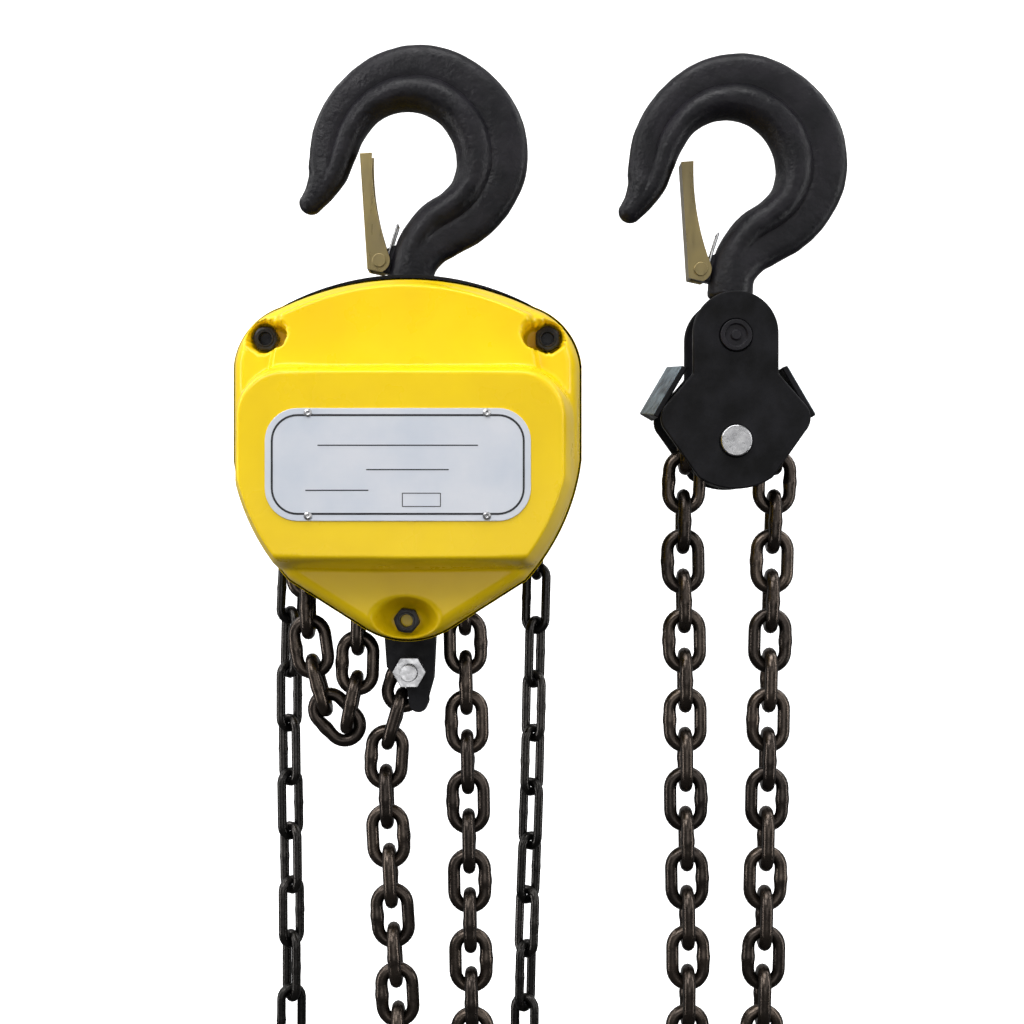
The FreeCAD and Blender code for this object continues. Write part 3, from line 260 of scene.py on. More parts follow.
def soften(node, radius, steps=2, corner=28):
    """A copy of a part whose corners sharper than `corner` degrees are rounded by radius."""
    mesh = welded_copy(node)
    mesh.shade_smooth()
    mesh.set_sharp_from_angle(angle=math.radians(corner))
    piece = new_piece(f"{node}_soft", mesh, body_of_node[node], (node,))
    bevel = piece.modifiers.new("edges", "BEVEL")
    bevel.width = radius * mm
    bevel.segments = steps
    bevel.limit_method = "ANGLE"
    bevel.angle_limit = math.radians(corner)
    bevel.harden_normals = True
    return piece


# %% Round the edges of plates, fittings and wheels
EDGE_RADIUS = {
    "gear_side_plate": 0.5, "wheel_side_plate": 0.5, "chain_anchor_bracket": 0.7, "anchor_bolt": 0.5,
    "anchor_nut": 0.4, "block_plate_front": 0.8, "block_plate_rear": 0.8, "block_guards": 0.7, "top_yoke": 0.8,
    "bottom_trunnion": 0.6, "idler_pin": 0.9, "top_latch": 0.35, "bottom_latch": 0.35, "top_latch_rivet": 0.3,
    "bottom_latch_rivet": 0.3, "hand_wheel_cover": 0.7, "hand_wheel": 0.6, "top_hook_nut": 0.5,
    "bottom_hook_nut": 0.5,
}
soft = {node: soften(node, radius) for node, radius in EDGE_RADIUS.items()}
print("softened", len(soft), "parts")

# %% [markdown]
# The slabs that guard the block's chain mouths are scraped by the chain, so their outer faces have lost paint
# and show blue steel. Those faces get a second finish, picked by the way they face.

# %% Wear the guards' outer faces
guards = soft["block_guards"].data
guards.materials.append(look["worn_blue"])
BLOCK_X = 145.0
worn = 0
for face in guards.polygons:
    side = 1 if face.center.x > BLOCK_X * mm else -1
    if abs(face.normal.y) < 0.3 and face.normal.x * side > 0.5 and face.normal.z > -0.2:
        face.material_index = 1
        worn += 1
print("worn guard faces:", worn)

# %% [markdown]
# ## The pressed gear cover
# The cover is drawn from one sheet: a flat rim, a shelf, a hump over the gears at the top, and a deep panel that
# carries the nameplate. A press can only make walls that lean and corners with a radius, so the whole form
# is a height above the rim at each point. It is made as rings of points that shrink from the outline to the
# middle, each lifted by that height, which gives smooth walls with no boxy edges. Solidify gives it its gauge.

# %% The outline of the housing
HOUSING_MID = -136.0


def arc_through(a, b, c, count):
    """Points on the circle through a, b and c, from a up to but not including c."""
    a, b, c = (np.array(p, float) for p in (a, b, c))
    d = 2 * (a[0] * (b[1] - c[1]) + b[0] * (c[1] - a[1]) + c[0] * (a[1] - b[1]))
    squares = [p @ p for p in (a, b, c)]
    centre = np.array([
        (squares[0] * (b[1] - c[1]) + squares[1] * (c[1] - a[1]) + squares[2] * (a[1] - b[1])) / d,
        (squares[0] * (c[0] - b[0]) + squares[1] * (a[0] - c[0]) + squares[2] * (b[0] - a[0])) / d])
    start, middle, end = (math.atan2(*(p - centre)[::-1]) for p in (a, b, c))
    sweep = (end - start) % (2 * math.pi)
    if (middle - start) % (2 * math.pi) > sweep:
        sweep -= 2 * math.pi
    radius = np.linalg.norm(a - centre)
    turns = start + sweep * np.arange(count) / count
    return [tuple(centre + radius * np.array([math.cos(t), math.sin(t)])) for t in turns]


def straight(a, b, count):
    return [(a[0] + (b[0] - a[0]) * i / count, a[1] + (b[1] - a[1]) * i / count) for i in range(count)]


half_outline = (arc_through((0, -57.4), (28.5, -60.6), (56, -70.3), 34)
                + arc_through((56, -70.3), (70.5, -80.8), (76.6, -96.4), 22)
                + straight((76.6, -96.4), (76.6, -137.5), 24)
                + arc_through((76.6, -137.5), (69, -165), (52.2, -190.8), 34)
                + straight((52.2, -190.8), (18.3, -212.3), 24)
                + arc_through((18.3, -212.3), (9.4, -216.1), (0, -217.4), 12) + [(0, -217.4)])
housing_line = half_outline + [(-x, z) for x, z in half_outline[-2:0:-1]]
print("housing outline:", len(housing_line), "points")


# %% How high the cover stands at each point
def inside_distance(points, line):
    """How far each point lies inside a closed line; negative outside."""
    points = np.asarray(points, float)
    line = np.asarray(line, float)
    nxt = np.roll(line, -1, axis=0)
    side = nxt - line
    from_start = points[:, None, :] - line[None]
    along = np.clip((from_start * side).sum(2) / (side ** 2).sum(1), 0, 1)
    gap = np.sqrt(((from_start - along[..., None] * side) ** 2).sum(2)).min(1)
    crosses = (line[:, 1] > points[:, None, 1]) != (nxt[:, 1] > points[:, None, 1])
    rise = np.where(side[:, 1] == 0, 1e-12, side[:, 1])
    at_x = line[:, 0] + (points[:, None, 1] - line[:, 1]) * side[:, 0] / rise
    inside = (crosses & (points[:, None, 0] < at_x)).sum(1) % 2 == 1
    return np.where(inside, gap, -gap)


def ease(t):
    """A step from 0 to 1 that starts and ends gently."""
    t = np.clip(t, 0, 1)
    return t * t * (3 - 2 * t)


def wall(gap, low, high, run, top_radius=0.45):
    """Height of a pressed wall: high where gap >= 0, falling to low over run millimetres outside."""
    t = np.clip(1 + gap / run, 0, 1)
    leaning = np.clip(t / (1 - top_radius), 0, 1)
    rounded = (1 - top_radius) * leaning + top_radius * ease(t)
    return low + (high - low) * (0.35 * rounded + 0.65 * ease(t))


def blend_high(a, b, soft_by):
    """The higher of two levels, with the corner between them rounded."""
    h = np.clip(0.5 + 0.5 * (a - b) / soft_by, 0, 1)
    return b + (a - b) * h + soft_by * h * (1 - h)


def blend_low(a, b, soft_by):
    return -blend_high(-a, -b, soft_by)


def box_gap(x, z, half, top, foot, corner):
    """Distance inside a rounded rectangle; negative outside."""
    middle = (top + foot) / 2
    over_x = np.abs(x) - (half - corner)
    over_z = np.abs(z - middle) - ((top - foot) / 2 - corner)
    outer = np.hypot(np.maximum(over_x, 0), np.maximum(over_z, 0))
    return corner - outer - np.minimum(np.maximum(over_x, over_z), 0)


def slot_gap(x, z, a, b):
    """Distance from the straight line between a and b."""
    run = b[0] - a[0]
    t = np.clip((x - a[0]) / run, 0, 1)
    return np.hypot(x - (a[0] + t * run), z - a[1])


RIM, SHELF, HUMP, PANEL_FRONT = 24.0, 42.0, 50.0, 71.9      # heights that the sheet is pressed to
RIM_WIDE = 1.2                  # flat of the rim outside the first bend
EDGE_BEND = 6.5                 # radius of that bend
PRESS_BEND = 2.0                # how softly two levels run into each other
HUMP_TOP, HUMP_HALF, HUMP_FOOT = -64.6, 52.0, -125
PANEL = dict(half=66.5, top=-102.9, foot=-178.9, corner=18)
PANEL_RUN = 7.0                 # how far the panel's walls lean out
UNDER_PANEL, UNDER_RUN = -150, 8.5      # below this height the wall leans more
STAYS = ((-61.4, -84.9), (61.4, -84.9), (0.0, -207.7))
STAY_RADIUS = 7.0
WELL_END, WELL_HALF, WELL_FLOOR = 56.0, 4.6, 26.6       # the keyhole's slot
NUT_CLEAR = 6.2
DISH_FLOOR, DISH_CLEAR, DISH_STRETCH = 28.0, 5.2, 1.35


def cover_height(x, z, edge):
    """Height of the sheet at x, z, which lie `edge` inside the outline."""
    round_edge = np.sqrt(1 - (1 - np.clip((edge - RIM_WIDE) / EDGE_BEND, 0, 1)) ** 2)
    height = RIM + (SHELF - RIM) * round_edge
    hump_arc = HUMP_TOP - (x / 53.0) ** 2 * 13.0
    hump_side = HUMP_HALF + 4.0 * np.clip((-78.0 - z) / 24.0, 0, 1) - np.abs(x)
    hump_gap = np.minimum(np.minimum(hump_side, hump_arc - z), z - HUMP_FOOT)
    height = blend_high(height, wall(hump_gap, RIM, HUMP, 6.5), PRESS_BEND)
    under = UNDER_RUN - 1.5 * np.clip(np.abs(x) / 50, 0, 1)
    lean = np.where(z < UNDER_PANEL, under, PANEL_RUN)
    height = blend_high(height, wall(box_gap(x, z, **PANEL), RIM, PANEL_FRONT, lean + 2.0), PRESS_BEND)
    height = np.minimum(height, RIM + 62 * np.sqrt(np.clip((edge - RIM_WIDE) / 11, 0, 1)))
    for side, (stay_x, stay_z) in zip((-1, 1), STAYS):
        well = slot_gap(x, z, (stay_x, stay_z), (side * WELL_END, stay_z))
        round_nut = np.hypot(x - stay_x, z - stay_z)
        reach = np.minimum(well - WELL_HALF, round_nut - NUT_CLEAR)
        height = blend_low(height, WELL_FLOOR + 34 * np.clip(reach / 2.0, 0, 2) ** 1.3, 0.8)
    dish = np.hypot(x / DISH_STRETCH, z - STAYS[2][1])
    return blend_low(height, DISH_FLOOR + 22 * np.clip((dish - DISH_CLEAR) / 8, 0, 2) ** 1.5, 1.5)


# %% Make the cover
RINGS = 120
CROWDING = 1.08                 # rings stand a little closer near the rim
SKIRT = -22.1                   # the sheet's edge reaches this plane
COVER_GAUGE = 1.2
CHUNK = 4000                    # points measured at a time, to keep the arrays small
ring_count = len(housing_line)
centre = np.array((0.0, HOUSING_MID))
line = np.array(housing_line)
shrink = [1 - (i / RINGS) ** CROWDING for i in range(RINGS)]
flat = np.concatenate([centre + (line - centre) * s for s in shrink] + [centre[None]])
edge = np.concatenate([inside_distance(flat[i:i + CHUNK], line) for i in range(0, len(flat), CHUNK)])
edge[:ring_count] = 0
height = cover_height(flat[:, 0], flat[:, 1], edge)
skirt = [(x, SKIRT, z) for x, z in housing_line]
points = skirt + [(x, -h, z) for (x, z), h in zip(flat, height)]
faces = []
for ring in range(RINGS):
    for i in range(ring_count):
        j = (i + 1) % ring_count
        a, b = ring * ring_count, (ring + 1) * ring_count
        faces.append((a + i, b + i, b + j, a + j))
last = RINGS * ring_count
pole = len(points) - 1
faces += [(last + i, pole, last + (i + 1) % ring_count) for i in range(ring_count)]
mesh = mesh_from("gear_cover_pressed", points, faces, look["yellow_enamel"])
outward(mesh)
facing_out = mesh.polygons[len(mesh.polygons) // 2].normal.y
if facing_out > 0:
    mesh.flip_normals()
cover = new_piece("gear_cover_pressed", mesh, HOME, ("gear_cover",))
gauge = cover.modifiers.new("gauge", "SOLIDIFY")
gauge.thickness = COVER_GAUGE * mm
gauge.offset = -1
print("gear cover:", len(points), "points,", round(float(height.max()), 1), "mm deep")

# %% [markdown]
# ## Nameplate
# A thin plate with a printed border, held by four drive rivets. It carries no words, only the border, three
# ruled lines and an empty field. Each is a raised strip, so it shows in the exported shape too.

# %% Plates and strips cut from an outline
PLATE_X, PLATE_Z = -1.0, -140.9
PLATE_LONG, PLATE_HIGH, PLATE_CORNER = 109.3, 46.4, 13.5
PLATE_Y, PLATE_GAUGE = -72.0, 0.5


def rounded_line(x, z, long, high, corner, steps=10):
    points = []
    for quarter in range(4):
        side_x = 1 if quarter in (0, 3) else -1
        side_z = 1 if quarter in (0, 1) else -1
        for i in range(steps + 1):
            turn = math.radians(90 * quarter + 90 * i / steps)
            points.append((x + side_x * (long / 2 - corner) + corner * math.cos(turn),
                           z + side_z * (high / 2 - corner) + corner * math.sin(turn)))
    return points


def strip(name, outer, inner, back, front, material):
    """A closed band between two lines with the same number of points."""
    count = len(outer)
    points = [(x, y, z) for y in (back, front) for ring in (outer, inner) for x, z in ring]
    faces = []
    for i in range(count):
        j = (i + 1) % count
        rings = [k * count for k in (0, 1, 3, 2)]
        for a, b in zip(rings, rings[1:] + rings[:1]):
            faces.append((a + i, a + j, b + j, b + i))
    mesh = mesh_from(name, points, faces, material, False)
    outward(mesh)
    return mesh


def plate(name, line, back, front, material):
    count = len(line)
    points = [(x, y, z) for y in (back, front) for x, z in line]
    faces = [tuple(range(count)), tuple(range(2 * count - 1, count - 1, -1))]
    faces += [(i, i + count, (i + 1) % count + count, (i + 1) % count) for i in range(count)]
    mesh = mesh_from(name, points, faces, material, False)
    outward(mesh)
    return mesh


def joined(name, meshes):
    bm = bmesh.new()
    for mesh in meshes:
        bm.from_mesh(mesh)
    whole = bpy.data.meshes.new(name)
    bm.to_mesh(whole)
    bm.free()
    for material in meshes[0].materials:
        whole.materials.append(material)
    return whole


# %% Make the nameplate and its border
silver = plate("nameplate_sheet", rounded_line(PLATE_X, PLATE_Z, PLATE_LONG, PLATE_HIGH, PLATE_CORNER),
               PLATE_Y, PLATE_Y - PLATE_GAUGE, look["plate_silver"])
name_sheet = new_piece("nameplate_sheet", silver, HOME, ("nameplate",))
edge_bevel = name_sheet.modifiers.new("edges", "BEVEL")
edge_bevel.width = 0.18 * mm
edge_bevel.segments = 2
INSET, PRINT_WIDE, FRONT = 2.5, 0.85, PLATE_Y - PLATE_GAUGE
PRINT_BACK, PRINT_FRONT = FRONT + 0.1, FRONT - 0.06


def printed(x, z, long, high, corner, wide):
    return strip("print", rounded_line(x, z, long, high, corner),
                 rounded_line(x, z, long - 2 * wide, high - 2 * wide, max(corner - wide, 0.05)),
                 PRINT_BACK, PRINT_FRONT, look["border_black"])


prints = [printed(PLATE_X, PLATE_Z, PLATE_LONG - 2 * INSET, PLATE_HIGH - 2 * INSET, PLATE_CORNER - INSET,
                  PRINT_WIDE),
          printed(8.7, -155.4, 16.0, 5.8, 0.3, 0.35)]
for x, z, long in ((-1.0, -133.0, 66.0), (3.0, -143.0, 34.0), (-26.0, -151.5, 26.0)):
    bar = rounded_line(x, z, long, 0.5, 0.24, 3)
    prints.append(plate("print", bar, PRINT_BACK, PRINT_FRONT, look["border_black"]))
new_piece("nameplate_print", joined("nameplate_print", prints), HOME)
print("nameplate:", len(prints), "printed marks")

# %% [markdown]
# ## Repeated fasteners
# Rivets and nuts are the same part in many places, which is what Geometry Nodes are for. One template is
# turned on a lathe or cut as a hexagon, and the tree puts it on every point, with a small random turn, because
# nobody tightens nuts to the same angle. Realize Instances makes it real geometry.

# %% A tree that repeats a part on points
def repeat_tree():
    tree = bpy.data.node_groups.new("repeat_part", "GeometryNodeTree")
    ask = tree.interface.new_socket
    ids = {}
    for label, kind in (("Points", "NodeSocketGeometry"), ("Part", "NodeSocketObject"),
                        ("Seed", "NodeSocketInt"), ("Turn by", "NodeSocketFloat"),
                        ("Material", "NodeSocketMaterial")):
        ids[label] = ask(label, in_out="INPUT", socket_type=kind).identifier
    ask("Result", in_out="OUTPUT", socket_type="NodeSocketGeometry")
    given = add_node(tree, "NodeGroupInput").outputs
    part = add_node(tree, "GeometryNodeObjectInfo", {"Object": given["Part"]})
    chance = add_node(tree, "FunctionNodeRandomValue", {"Seed": given["Seed"]}, data_type="FLOAT")
    amount = add_node(tree, "ShaderNodeMath", {0: chance.outputs[1], 1: given["Turn by"]},
                      operation="MULTIPLY")
    turn = add_node(tree, "ShaderNodeCombineXYZ", {"Y": amount.outputs[0]})
    spots = add_node(tree, "GeometryNodeMeshToPoints", {"Mesh": given["Points"]})
    copies = add_node(tree, "GeometryNodeInstanceOnPoints", {
        "Points": spots.outputs[0], "Instance": part.outputs["Geometry"], "Rotation": turn.outputs[0]})
    real = add_node(tree, "GeometryNodeRealizeInstances", {"Geometry": copies.outputs[0]})
    done = add_node(tree, "GeometryNodeSetMaterial", {
        "Geometry": real.outputs[0], "Material": given["Material"]})
    add_node(tree, "NodeGroupOutput", {"Result": done.outputs[0]})
    return tree, ids


def settled(name, tree, ids, points, values):
    """Runs a tree on a piece's points and keeps the result as plain mesh."""
    carrier = bpy.data.objects.new(name, points)
    bpy.context.scene.collection.objects.link(carrier)
    modifier = carrier.modifiers.new("repeat", "NODES")
    modifier.node_group = tree
    for label, value in values.items():
        modifier[ids[label]] = value
    depsgraph = bpy.context.evaluated_depsgraph_get()
    depsgraph.update()
    mesh = bpy.data.meshes.new_from_object(carrier.evaluated_get(depsgraph))
    bpy.data.objects.remove(carrier)
    return mesh


def dots(name, places):
    mesh = bpy.data.meshes.new(name)
    mesh.from_pydata([tuple(c * mm for c in p) for p in places], [], [])
    return mesh


def lathe(profile, around=40):
    """A solid of revolution about Y from (radius, y) pairs that start and end on the axis."""
    points, faces = [], []
    for radius, y in profile[1:-1]:
        for i in range(around):
            turn = 2 * math.pi * i / around
            points.append((radius * math.cos(turn), y, radius * math.sin(turn)))
    rings = len(profile) - 2
    for r in range(rings - 1):
        for i in range(around):
            j = (i + 1) % around
            faces.append((r * around + i, r * around + j, (r + 1) * around + j, (r + 1) * around + i))
    ends = (len(points), len(points) + 1)
    points += [(0, profile[0][1], 0), (0, profile[-1][1], 0)]
    for i in range(around):
        j = (i + 1) % around
        faces.append((ends[0], j, i))
        faces.append((ends[1], (rings - 1) * around + i, (rings - 1) * around + j))
    return points, faces


REPEAT, REPEAT_IDS = repeat_tree()


def repeated(name, template, places, material, stands_for, seed=5, turn_by=0.0):
    part = bpy.data.objects.new("template", template)
    bpy.context.scene.collection.objects.link(part)
    mesh = settled(name, REPEAT, REPEAT_IDS, dots(name, places), {
        "Part": part, "Seed": seed, "Turn by": turn_by, "Material": material})
    bpy.data.objects.remove(part)
    piece = new_piece(name, mesh, HOME, stands_for)
    print(name, len(places), "copies,", len(mesh.polygons), "faces")
    return piece


# %% Nameplate rivets
def lathed(name, profile, material, around=40, sharp=35):
    points, faces = lathe(profile, around)
    mesh = mesh_from(name, points, faces, material)
    outward(mesh)
    mesh.set_sharp_from_angle(angle=math.radians(sharp))
    return mesh


dome = [(0, 0.0), (1.75, 0.0), (1.75, -0.25), (1.6, -0.55), (1.2, -0.72), (0.8, -0.8), (0.55, -0.6), (0, -0.55)]
PLATE_RIVETS = [(x, -72.5, z) for x in (-37.9, 35.6) for z in (-119.7, -162.0)]
repeated("plate_rivets", lathed("rivet", dome, look["bright_zinc"], 28), PLATE_RIVETS, look["bright_zinc"],
         ("nameplate_rivets",))

# %% Stay nuts: round-shouldered nuts over the hollow ends of the stays
def socket_nut(flats, high, bore, deep):
    """A chamfered hexagon round a hollow stay end, lying along Y with its face at -high."""
    around = 48
    rows = []
    hexed = [flats / 2 / math.cos((math.radians(360 * i / around) + math.pi / 6) % (math.pi / 3) - math.pi / 6)
             for i in range(around)]
    full = [min(r, flats * 0.56) for r in hexed]
    shoulder = [min(r, flats * 0.5) for r in hexed]
    rows.append((0.0, full))
    rows.append((-(high - 1.2), full))
    rows.append((-(high - 0.35), [0.5 * (a + b) for a, b in zip(full, shoulder)]))
    rows.append((-high, [s - 0.45 for s in shoulder]))
    rows.append((-high, [bore + 0.9] * around))
    rows.append((-high - 0.5, [bore + 0.55] * around))
    rows.append((-high - 0.5, [bore + 0.1] * around))
    rows.append((-high + 0.3, [bore - 0.2] * around))
    rows.append((-high + deep, [bore - 0.3] * around))
    points, faces = [], []
    for y, radii in rows:
        for i, radius in enumerate(radii):
            turn = 2 * math.pi * i / around
            points.append((radius * math.cos(turn), y, radius * math.sin(turn)))
    for r in range(len(rows) - 1):
        for i in range(around):
            j = (i + 1) % around
            faces.append((r * around + i, r * around + j, (r + 1) * around + j, (r + 1) * around + i))
    faces.append(tuple(range(around)))
    faces.append(tuple(range(len(points) - 1, len(points) - 1 - around, -1)))
    mesh = mesh_from("nut", points, faces, look["black_oxide"])
    outward(mesh)
    mesh.set_sharp_from_angle(angle=math.radians(40))
    return mesh


front_nut = socket_nut(10.4, 7.0, 2.9, 5.0)
repeated("stay_nuts_front", front_nut, [(x, -25.4, z) for x, z in STAYS], look["black_oxide"], (),
         turn_by=math.pi)
back_nut = front_nut.copy()
back_nut.transform(Matrix.Scale(-1, 4, (0, 1, 0)))
back_nut.flip_normals()
repeated("stay_nuts_back", back_nut, [(x, 23.6, z) for x, z in STAYS], look["black_oxide"],
         ("stay_nuts",), 9, math.pi)

# %% The stays themselves: shouldered bars between the plates
THREAD, SHOULDER = 3.9, 19.0
bar_profile = [(0, -25.0), (THREAD, -25.0), (THREAD, -SHOULDER), (STAY_RADIUS, -SHOULDER),
               (STAY_RADIUS, SHOULDER), (THREAD, SHOULDER), (THREAD, 24.0), (0, 24.0)]
repeated("stay_bars", lathed("bar", bar_profile, look["black_oxide"], 32), [(x, 0, z) for x, z in STAYS],
         look["black_oxide"], ("stay_bolts",))

# %% [markdown]
# ## The forged hooks
# A lifting hook is drop forged: its bowl has a thick round bead on the inside, where the load sits, and a
# flatter web outside it, with a crease between. Sections are set out along the hook from nose to shank; each
# one says where it is, how wide and thick it is, and how far it is bead and web rather than plain round. A
# smooth curve through those values gives every ring of the surface. Forging scale is real relief here: the
# points are pushed in and out by a few hundredths of a millimetre of noise.

# %% Sections of the hook, about the centre of its bowl
NOSE = [
    # x, z, half width, half thickness, outward x, outward z, share of bead and web
    (-45.4, -20.2, 5.3, 5.1, -0.80, 0.60, 0.0), (-41.6, -15.4, 6.6, 6.0, -0.93, 0.37, 0.05),
    (-38.0, -8.6, 8.6, 7.4, -0.985, 0.17, 0.35),
]
BOWL = [
    # angle about the bowl, inner radius, outer radius, half thickness, share
    (181, 25.6, 46.4, 8.4, 0.75), (158, 23.2, 46.4, 9.4, 1.0), (132, 22.8, 47.4, 10.2, 1.0),
    (105, 22.1, 50.2, 10.8, 1.0), (78, 21.3, 52.4, 11.2, 1.0), (50, 20.6, 52.8, 11.3, 1.0),
    (22, 20.3, 53.6, 11.3, 1.0), (-5, 20.8, 53.0, 11.1, 1.0), (-28, 21.4, 50.8, 10.9, 1.0),
    (-48, 21.0, 49.2, 10.7, 0.95),
]
SHANK = [
    (12.6, -33.0, 13.4, 10.7, 0.62, -0.785, 0.8), (5.0, -41.0, 11.6, 10.5, 0.86, -0.51, 0.35),
    (0.8, -50.0, 10.4, 10.3, 0.99, -0.14, 0.0), (0.0, -57.2, 10.3, 10.3, 1.0, 0.0, 0.0),
]
sections = list(NOSE)
for angle, inner, outer, thick, share in BOWL:
    turn = math.radians(angle)
    middle = (inner + outer) / 2
    sections.append((middle * math.cos(turn), middle * math.sin(turn), (outer - inner) / 2, thick,
                     math.cos(turn), math.sin(turn), share))
sections = np.array(sections + SHANK)


def smooth_through(values, per_span):
    """A Catmull-Rom curve through rows of values, per_span steps between each two."""
    ends = np.vstack([2 * values[0] - values[1], values, 2 * values[-1] - values[-2]])
    rows = []
    for i in range(1, len(ends) - 2):
        p0, p1, p2, p3 = ends[i - 1:i + 3]
        for step in range(per_span):
            t = step / per_span
            rows.append(0.5 * (2 * p1 + (p2 - p0) * t + (2 * p0 - 5 * p1 + 4 * p2 - p3) * t ** 2
                               + (3 * p1 - p0 - 3 * p2 + p3) * t ** 3))
    rows.append(values[-1])
    return np.array(rows)


def bead_and_web(across):
    """Half thickness of the forged section, as a share, from inner edge -1 to outer edge 1."""
    bead = np.sqrt(np.clip(1 - ((across + 0.45) / 0.55) ** 2, 0, 1))
    web = 0.60 * np.sqrt(np.clip(1 - np.abs(across) ** 5, 0, 1))
    return blend_high(bead, web, 0.04) - 0.05 * np.exp(-((across - 0.02) / 0.05) ** 2)


AROUND = 88
spine = smooth_through(sections, 14)
turns = 2 * np.pi * np.arange(AROUND) / AROUND
across = -np.cos(turns)
plain = np.sin(turns)
forged = np.sign(plain) * bead_and_web(across)
forged[np.abs(plain) < 1e-9] = 0


def ring_points(row, squeeze=1.0, shift=(0, 0)):
    x, z, wide, thick, out_x, out_z, share = row
    share = min(max(share, 0), 1)
    length = math.hypot(out_x, out_z)
    depth = (1 - share) * plain + share * forged
    return [(x + shift[0] + a * wide * squeeze * out_x / length, d * thick * squeeze,
             z + shift[1] + a * wide * squeeze * out_z / length) for a, d in zip(across, depth)]


def hook_surface(neck_foot):
    """Points and faces of the whole hook, rounded at the nose and running down to neck_foot."""
    start = spine[0]
    tip = np.array((start[0] - spine[2][0], start[1] - spine[2][1]))
    tip = tip / np.linalg.norm(tip) * 5.2
    rings = []
    for step in range(7, 0, -1):
        lean = math.pi / 2 * step / 8
        rings.append(ring_points(start, math.cos(lean), tip * math.sin(lean)))
    rings += [ring_points(row) for row in spine]
    for z, wide in ((-58.4, 10.2), (-59.3, 9.4), (-59.6, 8.0), (neck_foot + 0.8, 8.0), (neck_foot, 7.2)):
        rings.append(ring_points((0, z, wide, wide, 1, 0, 0)))
    points = [p for ring in rings for p in ring]
    faces = []
    for r in range(len(rings) - 1):
        for i in range(AROUND):
            j = (i + 1) % AROUND
            a, b = r * AROUND, (r + 1) * AROUND
            faces.append((a + i, a + j, b + j, b + i))
    faces.append(tuple(range(AROUND)))
    faces.append(tuple(range(len(points) - 1, len(points) - 1 - AROUND, -1)))
    return points, faces


FORGED_FOOT = -57.0             # below this height the hook is turned, not left as forged


def roughen(mesh, seed, coarse=0.16, fine=0.07):
    """Pushes the skin in and out along its normals, as forging scale does."""
    offset = Vector((seed, seed * 0.37, -seed))
    for vertex in mesh.vertices:
        place = vertex.co / mm
        if place.z - FORGED_FOOT < 0:
            continue
        push = coarse * noise.noise(place / 5.5 + offset) + fine * noise.noise(place / 1.6 - offset)
        vertex.co += vertex.normal * push * mm


def lug(material):
    """The ear under the bowl that the latch swings on."""
    line = ([(-2, -54.5), (-13.4, -51.8)] + arc_through((-14.6, -51.4), (-18.2, -47.9), (-15.6, -43.0), 12)
            + [(-15.6, -43.0), (-4, -38.4)])
    bm = bmesh.new()
    ring = [bm.verts.new((x * mm, -3.2 * mm, z * mm)) for x, z in line]
    face = bm.faces.new(ring)
    grown = bmesh.ops.extrude_face_region(bm, geom=[face])["geom"]
    bmesh.ops.translate(bm, verts=[v for v in grown if isinstance(v, bmesh.types.BMVert)], vec=(0, 6.4 * mm, 0))
    bmesh.ops.recalc_face_normals(bm, faces=bm.faces)
    rims = [e for e in bm.edges if abs(e.verts[0].co.y - e.verts[1].co.y) < 1e-6]
    bmesh.ops.bevel(bm, geom=rims, offset=0.7 * mm, segments=2, affect="EDGES")
    mesh = bpy.data.meshes.new("lug")
    bm.to_mesh(mesh)
    bm.free()
    mesh.materials.append(material)
    return mesh


# %% Make both hooks
for name, centre_x, centre_z, neck_foot, seed in (("top_hook", 0.0, 0.0, -79.8, 3.0),
                                                  ("bottom_hook", BLOCK_X, -3.9, -94.1, 11.0)):
    points, faces = hook_surface(neck_foot)
    mesh = mesh_from(name, points, faces, look["black_forging"])
    outward(mesh)
    roughen(mesh, seed)
    whole = joined(f"{name}_forged", [mesh, lug(look["black_forging"])])
    whole.transform(Matrix.Translation((centre_x * mm, 0, centre_z * mm)))
    whole.shade_smooth()
    whole.set_sharp_from_angle(angle=math.radians(50))
    new_piece(f"{name}_forged", whole, name, (name,))
    print(name, len(whole.polygons), "faces")

# %% [markdown]
# ## Chains
# A welded link is a rod bent to an oval and butt welded in the middle of one side, which leaves a small bulge.
# The tree below bends a rectangle's corners into that oval, swells it at the weld, and puts one link at every
# point, turned as that point says. A seeded chance picks which side the weld is on and how brown the link is.
# The points come from the solid model: each of its links is measured for its middle and its three axes.

# %% Measure the links of the solid model
def link_places(node):
    """Middle, turn and size of every separate link in a part."""
    bm = bmesh.new()
    bm.from_mesh(frame["nodes"][node].data)
    bmesh.ops.remove_doubles(bm, verts=bm.verts, dist=2e-6)
    bmesh.ops.triangulate(bm, faces=bm.faces)
    bm.faces.ensure_lookup_table()
    seen, places = set(), []
    for first in bm.faces:
        if first.index in seen:
            continue
        island, edge_of = [], [first]
        seen.add(first.index)
        while edge_of:
            face = edge_of.pop()
            island.append(face)
            for side in face.edges:
                for other in side.link_faces:
                    if other.index not in seen:
                        seen.add(other.index)
                        edge_of.append(other)
        areas = np.array([f.calc_area() for f in island])
        middles = np.array([f.calc_center_median() for f in island])
        middle = (areas[:, None] * middles).sum(0) / areas.sum()
        apart = middles - middle
        spread_of_skin = (areas[:, None, None] * apart[:, :, None] * apart[:, None, :]).sum(0)
        _, axes = np.linalg.eigh(spread_of_skin)
        thin, wide, long = axes[:, 0], axes[:, 1], axes[:, 2]
        if long[2] < 0:
            long = -long
        lead = np.argmax(np.abs(wide[:2]))
        if wide[lead] * (1, -1)[lead] < 0:
            wide = -wide
        thin = np.cross(wide, long)
        corners = np.array([v.co for f in island for v in f.verts]) - middle
        size = [np.ptp(corners @ axis) for axis in (long, wide, thin)]
        turn = Matrix(np.array([wide, long, thin]).T.tolist()).to_euler("XYZ")
        places.append((middle, turn, size))
    bm.free()
    return places


